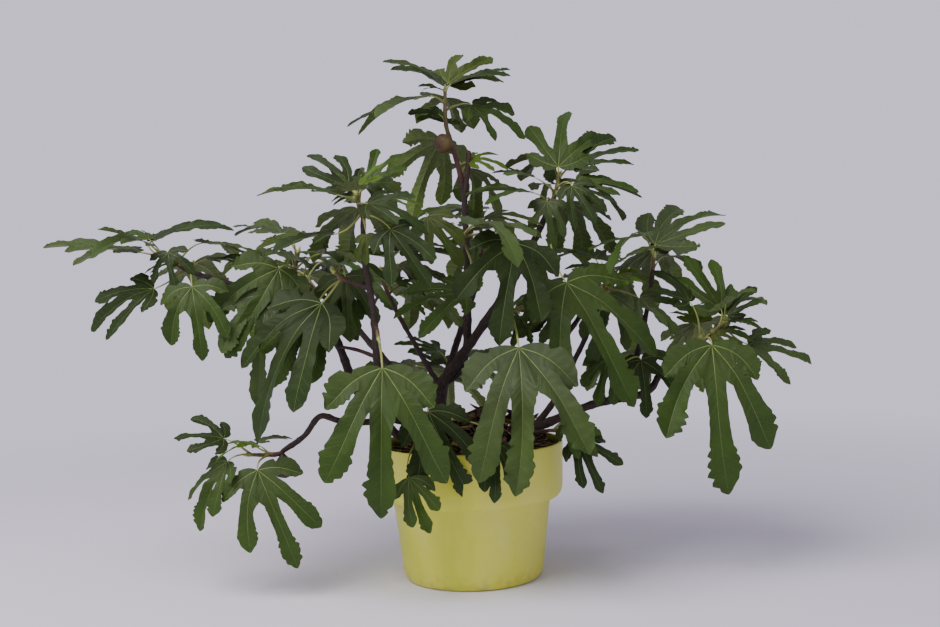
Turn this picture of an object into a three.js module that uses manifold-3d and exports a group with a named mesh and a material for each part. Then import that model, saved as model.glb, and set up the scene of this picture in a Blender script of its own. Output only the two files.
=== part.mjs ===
// A young fig tree in a round plastic pot: pot, soil, a short trunk, its boughs, and one mass of
// leaves at the end of each bough. Millimetres, +Z up, the origin in the middle of the pot's underside,
// X to the tree's right and -Y to its front.
import * as THREE from "three";
import { mergeVertices } from "three/addons/utils/BufferGeometryUtils.js";
import Module from "manifold-3d";

const wasm = await Module();
wasm.setup();

// ---- driving dimensions ----
const gap = 0.3;            // clear space between pieces that meet
const sliver = 0.1;         // edges and faces that a join leaves finer than this are closed up
const potHeight = 221;
const rimRadius = 151;      // a pot 30 cm across
const collarHeight = 90;    // the tall upright collar under the rim
const bodyTopRadius = 128;  // where the body goes up into the collar
const bodyFootRadius = 116;
const footRound = 30;       // height of the rounding at the body's foot
const collarRound = 19;     // and at the collar's lower edge
const potWall = 4;
const potFloor = 5;
const potSides = 24;
const soilTop = 200;
const soilInset = 4.8;      // from the pot's outside to the soil

const limbSides = 6;
const thinLimb = 12;        // a limb no thicker than this at its foot has as few sides as a stem
const stemSides = 5;
const stalkSides = 3;
const straightStart = 8;    // a mass's stem goes straight on from its bough for this far
const stemStep = 31;        // length of one ring-to-ring step along a stem
const longStalk = 75;       // a stalk longer than this has three stretches, a shorter one two
const limbStep = 44;        // length of one ring-to-ring step along a limb
const flare = 0.75;         // how much thicker the trunk is at the ground
const flareFade = 4;        // the power that the flare dies away with up the trunk

const leafCurl = 0.55;      // radians that a blade bends down from its base to its tip
const leafFold = 0.10;      // rise of the two halves of a blade on either side of its midrib
const bladeThickness = 0.02;   // at the veins, as a share of the blade's length
const stalkThickness = 4.2;    // at the stem; it thins to the blade's own thickness
const stalkEnd = 0.011;        // of the blade's length
const stalkSink = 0.05;        // how far a stalk runs on inside the blade, of the blade's length
const stalkBow = 0.4;          // how far back its bend is from the blade, of its own span
const tipThickness = 5.5;   // of a leafy shoot at its tip

const bladeClear = 12;      // least space between blades of different masses
const ownClear = 9;         // and between blades of one mass
const limbClear = 6;        // between a blade and a limb
const stalkClear = 7;       // between a stalk and anything of another mass
const stalkLimbClear = 3;   // between a stalk and a limb it doesn't grow from
const sampleStep = 15;      // spacing of the points that the clear space is tested at
const limbSampleStep = 9;
const stalkSampleStep = 10;
const sampleSides = [-0.6, 0, 0.6];   // where those points lie across a lobe's half width
const longestStalk = 150;
const potClear = 7;
const stalkPotClear = 5;
const floorClear = 12;

// Seeded leaves; each pair goes from the youngest, at a stem's tip, to the oldest, near its foot.
const seeded = {
  firstSeed: 4000,            // each mass's seed is seedStep further than the last one's
  seedStep: 37,
  alongStem: [0.2, 0.98],     // the stretch of the stem that they grow on
  goldenSection: 0.618034,    // of a turn from each leaf to the next
  stalkPitch: [50, 8],        // degrees above level
  stalkLength: [45, 95],
  bladePitch: [0, -48],
  bladeLength: [105, 185],
  headingPlay: 30,            // degrees of play, all told
  stalkPlay: 24,
  bladePlay: 30,
  tiltPlay: 0.7,              // of the upper side's direction
  stalkSizes: [0.85, 1.15],   // least and most share of those lengths
  bladeSizes: [0.8, 1.15],
  breadths: [0.8, 1.05],
  turns: [0, 30, -30, 60, -60, 100, -100],   // how far a leaf that touches something is turned
};

// A fig leaf's lobes in units of its length: angle from the midrib, reach, and half width.
const lobes = [
  { angle: -80, reach: 0.46, half: 0.085 },
  { angle: -36, reach: 0.82, half: 0.105 },
  { angle: 0, reach: 1.0, half: 0.115 },
  { angle: 36, reach: 0.82, half: 0.105 },
  { angle: 80, reach: 0.46, half: 0.085 },
];
const shoulder = 0.78;      // where along a lobe it is widest
const veinRise = 0.55;      // where along its vein a long lobe is thickest
const longLobe = 0.9;       // a lobe that reaches no further than this thins evenly from the leaf's base
const sinusReach = [0.2, 0.29, 0.29, 0.2];   // depth of the bays between the lobes
const ear = { angle: 128, reach: 0.17 };

// Which way a leaf's upper side looks.
const facings = {
  front: [0, -1, 0.25],
  up: [0, -0.1, 1],
  slope: [0, -0.6, 0.8],
  back: [0, 1, 0.3],
  left: [-0.7, -0.7, 0.4],
  right: [0.7, -0.7, 0.4],
  frontRight: [0.35, -0.9, 0.3],
  frontLeft: [-0.5, -0.85, 0.3],
};

const barkColour = 0x4a3230;
const leafColour = 0x33502f;
const potColour = 0xd3cf6a;
const soilColour = 0x3a2f26;

// Limbs: the limb that each leaves, the points that it runs through, and its thickness at foot and tip.
const limbs = [
  { name: "trunk", path: [[-50, 0, soilTop + gap], [-50, 0, 245], [-50, 2, 322]], thick: [27, 21] },
  { name: "leader", parent: "trunk", thick: [14, 9],
    path: [[-50, 2, 312], [-14, 14, 338], [1, 20, 400], [3, 20, 593], [-2, 20, 645]] },
  { name: "right_bough", parent: "trunk", thick: [17, 10],
    path: [[-50, 2, 308], [13, 8, 390], [83, 25, 488], [136, 40, 584]] },
  { name: "inner_twig", parent: "trunk", thick: [9, 6],
    path: [[-50, 2, 316], [-106, -10, 423], [-122, -20, 460]] },
  { name: "left_bough", parent: "trunk", thick: [17, 8],
    path: [[-50, 0, 258], [-120, -5, 262], [-178, 10, 300], [-222, 20, 408], [-275, 20, 456], [-384, 10, 489],
      [-440, 0, 508]] },
  { name: "front_left_bough", parent: "trunk", thick: [15, 8],
    path: [[-50, 0, 238], [-95, -50, 236], [-126, -98, 264], [-137, -122, 340], [-141, -130, 439],
      [-152, -130, 523], [-152, -130, 580]] },
  { name: "low_left_bough", parent: "left_bough", thick: [11, 8],
    path: [[-122, -5, 263], [-165, -40, 262], [-205, -60, 268], [-236, -62, 276], [-262, -62, 246],
      [-296, -60, 223]] },
  { name: "right_low_bough", parent: "trunk", thick: [18, 9],
    path: [[-50, 0, 236], [80, 0, 234], [200, 0, 274], [287, 0, 291], [316, 0, 326], [363, 0, 359]] },
  { name: "right_middle_bough", parent: "right_low_bough", thick: [11, 7],
    path: [[105, 0, 240], [139, 15, 280], [171, 20, 339], [191, 20, 376], [217, 20, 436]] },
  { name: "right_upper_bough", parent: "right_low_bough", thick: [10, 7],
    path: [[250, 0, 286], [275, 20, 340], [302, 38, 440], [308, 40, 478]] },
  { name: "leader_spur", parent: "leader", thick: [7, 6], path: [[2, 20, 535], [-2, -20, 547]] },
  { name: "right_spur", parent: "right_bough", thick: [7, 6], path: [[48, 17, 438], [64, -25, 432]] },
  { name: "left_spur", parent: "left_bough", thick: [8, 7], path: [[-275, 20, 456], [-277, 14, 494]] },
  { name: "front_spur", parent: "front_left_bough", thick: [7, 6],
    path: [[-146, -130, 478], [-178, -126, 490]] },
  { name: "low_front_spur", parent: "front_left_bough", thick: [7, 6],
    path: [[-140, -129, 425], [-135, -162, 420]] },
  { name: "right_low_spur", parent: "right_low_bough", thick: [7, 6],
    path: [[240, 0, 282], [238, -22, 316]] },
  { name: "left_twig", parent: "front_left_bough", thick: [6, 5],
    path: [[-138, -124, 372], [-168, -122, 384], [-196, -120, 390]] },
  { name: "front_low_bough", parent: "trunk", thick: [9, 7],
    path: [[-50, 0, 226], [-38, -60, 246], [-44, -105, 268]] },
  { name: "rim_sprout_bough", parent: "right_low_bough", thick: [8, 6],
    path: [[45, 0, 232], [95, -62, 240], [118, -88, 246]] },
  { name: "back_bough", parent: "trunk", thick: [13, 8],
    path: [[-50, 0, 286], [-20, 85, 370], [18, 165, 470], [26, 190, 515]] },
  { name: "back_left_bough", parent: "trunk", thick: [14, 8],
    path: [[-50, 0, 270], [-120, 95, 325], [-215, 180, 425], [-262, 215, 462]] },
  { name: "back_right_bough", parent: "trunk", thick: [14, 8],
    path: [[-50, 0, 246], [60, 80, 280], [170, 180, 372], [215, 225, 425]] },
  { name: "back_low_bough", parent: "trunk", thick: [10, 7],
    path: [[-50, 0, 232], [-48, 90, 250], [-40, 165, 290]] },
];

// Masses: the bough whose tip carries each, the rest of its stem, its leaves, and its figs.
// A leaf is [place along the stem, base, tip, facing, breadth]; "more" says how many seeded leaves
// join them, the heading they keep to and how far to each side of it they turn.
const masses = [
  { name: "top_foliage", bough: "leader", stem: [[-13, 20, 695], [-24, 20, 738], [-24, 20, 792]],
    leaves: [
      [0.97, [-25, 20, 802], [-120, 50, 855], "up", 0.9],
      [0.98, [-14, 20, 802], [97, 40, 818], "up", 0.8],
      [0.99, [-18, 32, 806], [58, 95, 850], "slope", 0.9],
      [0.90, [-50, 0, 782], [-185, -30, 730], "up", 0.8],
      [0.85, [20, 40, 770], [98, 25, 708], "right", 0.9],
      [0.55, [-35, 62, 715], [-92, 95, 590], "back", 0.9],
    ],
    more: { count: 2, toward: 90, range: 70 },
    figs: [[0.58, [-0.5, -0.85, -0.15], 36]] },
  { name: "upper_right_foliage", bough: "right_bough", stem: [[150, 44, 614], [160, 40, 650]],
    leaves: [
      [0.45, [160, -56, 476], [258, -118, 280], "frontRight", 0.95],
      [0.97, [158, 32, 664], [172, 128, 762], "slope", 0.9],
      [0.95, [182, 42, 666], [300, 66, 692], "slope", 0.8],
      [0.85, [186, 2, 636], [282, 6, 616], "slope", 0.8],
      [0.80, [176, -14, 630], [208, -46, 562], "front", 0.9],
      [0.55, [136, -2, 606], [136, -24, 535], "front", 0.9],
      [0.75, [116, 22, 648], [48, 32, 656], "up", 0.8],
      [0.45, [112, -2, 622], [8, -20, 614], "up", 0.7],
    ],
    more: { count: 3, toward: 80, range: 80 } },
  { name: "upper_left_foliage", bough: "front_left_bough", stem: [[-158, -130, 605], [-162, -130, 622]],
    leaves: [
      [0.95, [-172, -122, 634], [-242, -78, 690], "slope", 0.9],
      [0.90, [-142, -112, 642], [-88, -68, 688], "slope", 0.9],
      [0.85, [-190, -150, 622], [-312, -160, 632], "up", 0.8],
      [0.70, [-140, -172, 606], [-54, -202, 578], "slope", 0.9],
      [0.45, [-196, -162, 562], [-322, -172, 530], "up", 0.8],
      [0.40, [-108, -182, 566], [-54, -214, 478], "front", 0.9],
      [0.20, [-146, -158, 560], [-140, -170, 512], "front", 0.8],
    ],
    more: { count: 3, toward: 90, range: 90 } },
  { name: "far_left_foliage", bough: "left_bough", stem: [[-466, 0, 522], [-496, 2, 538]],
    leaves: [
      [0.55, [-475, -22, 542], [-456, -52, 478], "front", 1.1],
      [0.20, [-430, -62, 487], [-411, -92, 371], "front", 1.0],
      [0.97, [-527, 0, 545], [-684, -12, 541], "up", 0.8],
      [0.80, [-512, 24, 562], [-384, 72, 600], "up", 0.8],
      [0.45, [-500, -22, 485], [-607, -30, 430], "left", 0.8],
      [0.20, [-424, 40, 530], [-345, 52, 512], "up", 0.8],
      [0.90, [-516, 24, 566], [-568, 66, 584], "up", 0.9],
    ],
    more: { count: 3, toward: 90, range: 80 } },
  { name: "left_foliage", bough: "left_spur", stem: [[-276, 12, 512], [-270, 12, 538]],
    leaves: [
      [0.50, [-297, -30, 511], [-378, -62, 374], "front", 0.9],
    ],
    more: { count: 4, toward: 100, range: 150 } },
  { name: "front_left_foliage", bough: "front_spur", stem: [[-190, -122, 496], [-200, -118, 504]],
    leaves: [
      [0.60, [-222, -108, 457], [-342, -158, 287], "frontLeft", 0.78],
    ],
    more: { count: 2, toward: 90, range: 120 } },
  { name: "front_foliage", bough: "low_front_spur", stem: [[-133, -172, 416], [-131, -182, 404]],
    leaves: [
      [0.80, [-126, -192, 362], [-121, -238, 138], "front", 0.74],
    ] },
  { name: "middle_foliage", bough: "inner_twig", stem: [[-130, -24, 480], [-135, -26, 502]],
    leaves: [],
    more: { count: 3, toward: 68, range: 120 } },
  { name: "lower_left_foliage", bough: "low_left_bough", stem: [[-322, -60, 217], [-350, -60, 218]],
    leaves: [
      [0.97, [-390, -62, 246], [-472, -62, 255], "slope", 1.1],
      [0.90, [-381, -82, 212], [-432, -92, 108], "left", 0.8],
      [0.60, [-331, -102, 200], [-282, -132, 54], "front", 0.9],
      [0.50, [-340, -25, 234], [-288, 5, 238], "up", 0.9],
    ],
    figs: [[0.12, [0.1, 0, -1], 42]] },
  { name: "centre_foliage", bough: "leader_spur", stem: [[-2, -36, 551], [-1, -52, 556]],
    leaves: [
      [0.80, [80, -95, 540], [30, -150, 382], "front", 0.95],
      [0.70, [-56, -72, 586], [-8, -80, 508], "front", 0.8],
      [0.30, [-4, -82, 466], [-116, -112, 434], "slope", 0.9],
    ],
    more: { count: 3, toward: 60, range: 160 } },
  { name: "front_right_foliage", bough: "right_spur", stem: [[68, -42, 430], [72, -58, 428]],
    leaves: [
      [0.80, [78, -155, 383], [90, -232, 160], "front", 0.76],
    ],
    more: { count: 2, toward: 30, range: 60 } },
  { name: "right_middle_foliage", bough: "right_middle_bough", stem: [[225, 20, 458], [230, 20, 478]],
    leaves: [
      [0.80, [282, 0, 446], [352, -12, 388], "slope", 0.8],
      [0.90, [240, 22, 488], [170, 12, 505], "up", 0.8],
      [0.30, [231, -12, 455], [210, -42, 352], "front", 0.9],
    ],
    more: { count: 3, toward: 98, range: 100 } },
  { name: "right_upper_foliage", bough: "right_upper_bough", stem: [[311, 40, 496], [313, 40, 512]],
    leaves: [
      [0.95, [315, 42, 532], [438, 128, 596], "slope", 0.75],
    ],
    more: { count: 3, toward: 110, range: 100 } },
  { name: "far_right_foliage", bough: "right_low_bough", stem: [[384, 0, 374], [418, 0, 402]],
    leaves: [
      [0.60, [386, -62, 371], [375, -110, 162], "front", 0.85],
      [0.97, [456, 0, 366], [557, -12, 314], "right", 0.8],
      [0.50, [374, -40, 352], [306, -52, 345], "slope", 0.8],
      [0.55, [362, -4, 438], [292, 8, 490], "slope", 0.9],
      [0.90, [414, 2, 424], [364, 22, 510], "front", 0.8],
      [0.95, [424, 4, 414], [472, 32, 462], "slope", 0.9],
      [0.96, [424, -12, 405], [478, -32, 392], "up", 0.8],
    ],
    figs: [[0.98, [0.5, 0.1, 0.6], 14]],
    more: { count: 2, toward: 80, range: 70 } },
  { name: "right_low_foliage", bough: "right_low_spur", stem: [[236, -25, 336], [236, -22, 352]],
    leaves: [
      [0.60, [280, -14, 346], [297, -30, 244], "front", 1.1],
      [0.50, [226, -22, 351], [200, -44, 268], "front", 0.9],
    ],
    more: { count: 3, toward: 88, range: 90 } },
  { name: "low_front_foliage", bough: "front_low_bough", stem: [[-48, -120, 276], [-52, -132, 284]],
    leaves: [
      [0.80, [-62, -152, 290], [-16, -172, 156], "front", 0.8],
      [0.50, [38, -160, 240], [46, -184, 150], "front", 0.7],
      [0.60, [-92, -186, 196], [-64, -202, 112], "front", 0.7],
    ] },
  { name: "rim_sprout_foliage", bough: "rim_sprout_bough", stem: [[130, -98, 248], [142, -104, 248]],
    leaves: [
      [0.80, [168, -108, 232], [206, -132, 154], "front", 0.9],
      [0.70, [150, -112, 262], [196, -142, 212], "front", 0.9],
    ] },
  { name: "back_foliage", bough: "back_bough", stem: [[30, 204, 545], [30, 214, 585]],
    leaves: [], more: { count: 6, toward: 80, range: 180 } },
  { name: "back_left_foliage", bough: "back_left_bough", stem: [[-288, 234, 484], [-318, 250, 510]],
    leaves: [], more: { count: 6, toward: 120, range: 180 } },
  { name: "back_right_foliage", bough: "back_right_bough", stem: [[232, 244, 448], [252, 262, 482]],
    leaves: [], more: { count: 6, toward: 56, range: 180 } },
  { name: "back_low_foliage", bough: "back_low_bough", stem: [[-36, 190, 305], [-32, 212, 322]],
    leaves: [], more: { count: 5, toward: 90, range: 100 } },
];

// ---- small helpers ----
const vector = (a) => new THREE.Vector3(...a);
const radians = THREE.MathUtils.degToRad;
const mix = THREE.MathUtils.lerp;

// Numbers from 0 to 1 that are the same at every run.
function draws(seed) {
  let state = seed;
  return () => {
    state = (state * 16807) % 2147483647;
    return state / 2147483647;
  };
}

function toSolid(geometry) {
  const bare = geometry.clone();
  for (const name of Object.keys(bare.attributes)) if (name !== "position") bare.deleteAttribute(name);
  const merged = mergeVertices(bare, 1e-3);
  return new wasm.Manifold(new wasm.Mesh({
    numProp: 3,
    vertProperties: new Float32Array(merged.attributes.position.array),
    triVerts: new Uint32Array(merged.index.array),
  }));
}

// A face's three edges, and how it stands on the longest: its corner off that edge, and its height.
function faceShape(at, face) {
  const edges = face.map((a, k) => ({ a, b: face[(k + 1) % 3], c: face[(k + 2) % 3] }));
  for (const edge of edges) edge.length = at[edge.a].distanceTo(at[edge.b]);
  const longest = edges.reduce((best, edge) => (edge.length > best.length ? edge : best));
  const [p, q, r] = face.map((i) => at[i]);
  const area = q.clone().sub(p).cross(r.clone().sub(p)).length();
  return { edges, longest, height: area / longest.length };
}

// Draws corner b of a short edge into a, where that leaves the mesh closed.
function drawnTogether(faces, { a, b }) {
  const around = (i) => new Set(faces.filter((face) => face.includes(i)).flat());
  const ofB = around(b);
  const shared = [...around(a)].filter((i) => i !== a && i !== b && ofB.has(i));
  if (shared.length !== 2) return null;
  return faces.map((face) => face.map((i) => (i === b ? a : i))).filter((face) => new Set(face).size === 3);
}

// Turns the long edge of a flat face across the face beyond it, where that leaves both less flat.
function turnedAcross(at, faces, { a, b, c }, height) {
  const beyond = faces.findIndex((face) => face.some((i, k) => i === b && face[(k + 1) % 3] === a));
  const d = faces[beyond].find((i) => i !== a && i !== b);
  if (faces.some((face) => face.includes(c) && face.includes(d))) return null;
  const turned = [[a, d, c], [d, b, c]];
  if (turned.some((face) => faceShape(at, face).height <= height)) return null;
  const here = faces.findIndex((face) => face.includes(a) && face.includes(b) && face.includes(c));
  return [...faces.filter((_, k) => k !== here && k !== beyond), ...turned];
}

// The first sliver that can be closed up is: its short edge drawn together, or its long edge turned.
function mendedOnce(at, faces) {
  for (const face of faces) {
    const { edges, longest, height } = faceShape(at, face);
    const short = edges.find((edge) => edge.length < sliver);
    const mended = (short && drawnTogether(faces, short))
      ?? (height < sliver ? turnedAcross(at, faces, longest, height) : null);
    if (mended) return mended;
  }
  return null;
}

const inThrees = (list) => Array.from({ length: list.length / 3 }, (_, k) => [...list.slice(3 * k, 3 * k + 3)]);

function toGeometry(solid) {
  const { vertProperties, triVerts } = solid.getMesh();
  const geometry = new THREE.BufferGeometry();
  geometry.setAttribute("position", new THREE.BufferAttribute(new Float32Array(vertProperties), 3));
  geometry.setIndex([...triVerts]);
  return geometry;
}

// A join with its slivers closed up, and without its loose scraps.
function wholeOf(joined) {
  const geometry = toGeometry(joined);
  const at = inThrees(geometry.attributes.position.array).map(vector);
  let faces = inThrees(geometry.index.array);
  for (let mended = faces; mended; mended = mendedOnce(at, faces)) faces = mended;
  geometry.setIndex(faces.flat());
  const bodies = toSolid(geometry).decompose();
  return bodies.reduce((best, body) => (body.volume() > best.volume() ? body : best));
}

const curveThrough = (points) => new THREE.CatmullRomCurve3(points.map(vector), false, "catmullrom", 0.5);

// A round limb along a curve: a closed cylinder whose rings are carried along and set to size.
function limbGeometry(curve, radiusAt, sides, steps) {
  const geometry = new THREE.CylinderGeometry(1, 1, 1, sides, steps);
  const frames = [];
  let side = null;
  for (let k = 0; k <= steps; k++) {
    const along = curve.getTangent(k / steps);
    side = side ?? new THREE.Vector3(0, 1, 0.3).cross(along);
    side = side.clone().addScaledVector(along, -side.dot(along)).normalize();
    frames.push({ at: curve.getPoint(k / steps), side, out: side.clone().cross(along) });
  }
  const position = geometry.attributes.position;
  for (let i = 0; i < position.count; i++) {
    const t = position.getY(i) + 0.5;
    const { at, side: across, out } = frames[Math.round(t * steps)];
    const radius = radiusAt(t);
    const point = at.clone().addScaledVector(across, position.getX(i) * radius)
      .addScaledVector(out, position.getZ(i) * radius);
    position.setXYZ(i, point.x, point.y, point.z);
  }
  return geometry;
}

// ---- pot and soil ----
function potGeometry() {
  const collarFoot = potHeight - collarHeight;
  const outline = new THREE.Path();
  outline.moveTo(0, 0);
  outline.lineTo(bodyFootRadius - 12, 0);
  outline.quadraticCurveTo(bodyFootRadius - 1, 1, bodyFootRadius, footRound);
  outline.lineTo(bodyTopRadius, collarFoot - 3);
  outline.lineTo(bodyTopRadius + 5, collarFoot);
  outline.quadraticCurveTo(rimRadius - 3, collarFoot, rimRadius - 2, collarFoot + collarRound);
  outline.lineTo(rimRadius, potHeight - 2);
  outline.lineTo(rimRadius - 1.5, potHeight);
  outline.lineTo(rimRadius - potWall, potHeight - 1);
  outline.lineTo(rimRadius - potWall - 2, collarFoot + 14);
  outline.lineTo(bodyTopRadius - potWall, collarFoot - 6);
  outline.lineTo(bodyFootRadius - potWall - 4, potFloor);
  outline.lineTo(0, potFloor);
  return new THREE.LatheGeometry(outline.getPoints(3), potSides).rotateX(Math.PI / 2);
}

function soilGeometry() {
  const collarFoot = potHeight - collarHeight;
  const outline = [
    [0, potFloor + gap],
    [bodyFootRadius - soilInset - 4, potFloor + gap],
    [bodyTopRadius - soilInset, collarFoot - 5],
    [rimRadius - soilInset - 2.5, collarFoot + 15],
    [rimRadius - soilInset - 1, soilTop],
    [0, soilTop],
  ].map(([r, z]) => new THREE.Vector2(r, z));
  return new THREE.LatheGeometry(outline, potSides).rotateX(Math.PI / 2);
}

// ---- limbs ----
function limbSolid(limb, extra) {
  const curve = curveThrough(limb.path);
  const steps = Math.max(3, Math.round(curve.getLength() / limbStep));
  const [foot, tip] = limb.thick.map((d) => d / 2);
  const spread = limb.parent ? 0 : flare;
  const radiusAt = (t) => mix(foot, tip, t) * (1 + spread * (1 - t) ** flareFade) + extra;
  const sides = limb.thick[0] > thinLimb ? limbSides : stemSides;
  return toSolid(limbGeometry(curve, radiusAt, sides, steps * (limb.parent ? 1 : 2)));
}

// ---- leaves ----
// A leaf stands on its base; its midrib's chord runs to the tip and its upper side looks to the facing.
function leafFrame(base, tip, facing) {
  const chord = tip.clone().sub(base);
  const reach = chord.length();
  chord.normalize();
  const normal = facing.clone().addScaledVector(chord, -facing.dot(chord)).normalize();
  const half = leafCurl / 2;
  const forward = chord.clone().multiplyScalar(Math.cos(half)).addScaledVector(normal, Math.sin(half));
  const up = normal.clone().multiplyScalar(Math.cos(half)).addScaledVector(chord, -Math.sin(half));
  const side = up.clone().cross(forward);
  return { base, forward, side, up, length: (reach * half) / Math.sin(half) };
}

// A point of the flat blade (x along the midrib, y across, z off it, in units of the leaf's length)
// laid on the bent blade: the bend turns every ray from the base down like an arc.
function onBlade(frame, x, y, z) {
  const r = Math.hypot(x, y);
  const bend = leafCurl * r;
  const keep = r > 1e-6 ? Math.sin(bend) / bend : 1;
  const drop = (1 - Math.cos(bend)) / leafCurl;
  const rise = leafFold * Math.abs(y);
  return frame.base.clone()
    .addScaledVector(frame.forward, x * keep * frame.length)
    .addScaledVector(frame.side, y * keep * frame.length)
    .addScaledVector(frame.up, (z + rise - drop) * frame.length);
}

const onRay = (angle, reach, across = 0) => [
  reach * Math.cos(angle) - across * Math.sin(angle),
  reach * Math.sin(angle) + across * Math.cos(angle),
];

// The blade as one closed lens: two sheets with the same faces, apart along the veins and joined at the rim.
function bladeSolid(frame, breadth) {
  const points = [];
  const add = (angle, reach, across = 0, z = 0) => {
    const [x, y] = onRay(radians(angle * breadth), reach, across);
    return points.push(onBlade(frame, x, y, z)) - 1;
  };
  let corner = add(-ear.angle, ear.reach);
  const rims = lobes.map((lobe, k) => {
    const rim = [corner, add(lobe.angle, lobe.reach * shoulder, -lobe.half), add(lobe.angle, lobe.reach),
      add(lobe.angle, lobe.reach * shoulder, lobe.half)];
    const next = lobes[k + 1];
    corner = next ? add((lobe.angle + next.angle) / 2, sinusReach[k]) : add(ear.angle, ear.reach);
    return [...rim, corner];
  });
  const sheet = (z) => {
    const base = add(0, 0, 0, z);
    const faces = lobes.flatMap(({ angle, reach }, k) => {
      const rim = rims[k];
      const hub = reach > longLobe ? add(angle, reach * veinRise, 0, z) : base;
      const fan = rim.slice(1).map((after, i) => [hub, rim[i], after]);
      return hub === base ? fan : [...fan, [base, rim[0], hub], [base, hub, rim.at(-1)]];
    });
    return { base, faces };
  };
  const upper = sheet(bladeThickness / 2);
  const under = sheet(-bladeThickness / 2);
  const faces = [...upper.faces, ...under.faces.map(([a, b, c]) => [a, c, b]),
    [rims[0][0], upper.base, under.base], [upper.base, corner, under.base]];
  const geometry = new THREE.BufferGeometry();
  geometry.setAttribute("position", new THREE.Float32BufferAttribute(points.flatMap((p) => p.toArray()), 3));
  geometry.setIndex(faces.flat());
  return toSolid(geometry);
}

// A leaf's stalk leaves the stem and turns into line with the midrib, inside the blade's base.
function stalkCurve(from, frame) {
  const end = frame.base.clone().addScaledVector(frame.forward, stalkSink * frame.length);
  const middle = frame.base.clone().addScaledVector(frame.forward, -stalkBow * from.distanceTo(frame.base));
  return new THREE.QuadraticBezierCurve3(from, middle, end);
}

// Points spread over the lobes, where a blade's clear space is tested.
function bladeSamples(frame, breadth) {
  const samples = [];
  for (const lobe of lobes) {
    const angle = radians(lobe.angle * breadth);
    const count = Math.ceil((lobe.reach * frame.length) / sampleStep);
    for (let k = 1; k <= count; k++) {
      const half = lobe.half * (k < count ? 1 : 0.2);
      for (const across of sampleSides) {
        const [x, y] = onRay(angle, (lobe.reach * k) / count, across * half);
        samples.push(onBlade(frame, x, y, 0));
      }
    }
  }
  return samples;
}

function curveSamples(curve, step) {
  const count = Math.max(2, Math.ceil(curve.getLength() / step));
  return Array.from({ length: count + 1 }, (_, k) => curve.getPoint(k / count));
}

// ---- growth ----
const taken = [];   // what already has its place: { kind, owner, points, radius, middle, reach }

function spanOf(points) {
  const middle = points.reduce((sum, p) => sum.add(p), new THREE.Vector3()).divideScalar(points.length);
  return { middle, reach: Math.max(...points.map((p) => p.distanceTo(middle))) };
}

const take = (kind, owner, points, radius) => taken.push({ kind, owner, points, radius, ...spanOf(points) });

// Whether any point comes within the clear space of another piece; span says roughly where they lie.
function touches(points, span, other, clear) {
  if (span.middle.distanceTo(other.middle) > span.reach + other.reach + clear + other.radius) return false;
  const least = (clear + other.radius) ** 2;
  return points.some((p) => other.points.some((q) => p.distanceToSquared(q) < least));
}

function meetsPot(blade, stalk) {
  const bladeMeets = blade.some((p) => p.z < floorClear
    || (p.z < potHeight + potClear && Math.hypot(p.x, p.y) < rimRadius + potClear));
  return bladeMeets || stalk.some((p) => {
    const out = Math.hypot(p.x, p.y);
    const top = out > rimRadius - 2 * potWall ? potHeight : soilTop;
    return out < rimRadius + potWall && p.z < top + stalkPotClear;
  });
}

// Whether a leaf would meet the pot, a limb, or a leaf or stem that already has its place.
function leafMeets(owner, blade, stalk, ownTest) {
  if (meetsPot(blade, stalk)) return true;
  const span = spanOf(blade);
  const wide = { middle: span.middle, reach: span.reach + longestStalk };
  return taken.some((other) => {
    if (other.kind === "limb") {
      return touches(blade, span, other, limbClear) || touches(stalk.slice(2), wide, other, stalkLimbClear);
    }
    const isBlade = other.kind === "blade";
    if (other.owner === owner) return ownTest && isBlade && touches(blade, span, other, ownClear);
    const clear = isBlade ? bladeClear : stalkClear;
    return touches(blade, span, other, clear) || touches(stalk, wide, other, stalkClear);
  });
}

// Grows one leaf on a mass's stem, and says whether there was room for it.
function growLeaf(mass, [along, base, tip, facing, breadth], ownTest) {
  const frame = leafFrame(base, tip, facing);
  const stalk = stalkCurve(mass.curve.getPoint(along), frame);
  const blade = bladeSamples(frame, breadth);
  const stalkPoints = curveSamples(stalk, stalkSampleStep);
  if (leafMeets(mass.name, blade, stalkPoints, ownTest)) return false;
  mass.grown.push({ frame, stalk, breadth });
  take("blade", mass.name, blade, 0);
  take("stalk", mass.name, stalkPoints, stalkThickness / 2);
  return true;
}

// A ray that points a heading round from +X and a pitch up from level, in degrees.
function ray(heading, pitch) {
  const level = Math.cos(radians(pitch));
  return new THREE.Vector3(
    level * Math.cos(radians(heading)), level * Math.sin(radians(heading)), Math.sin(radians(pitch)));
}

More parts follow.
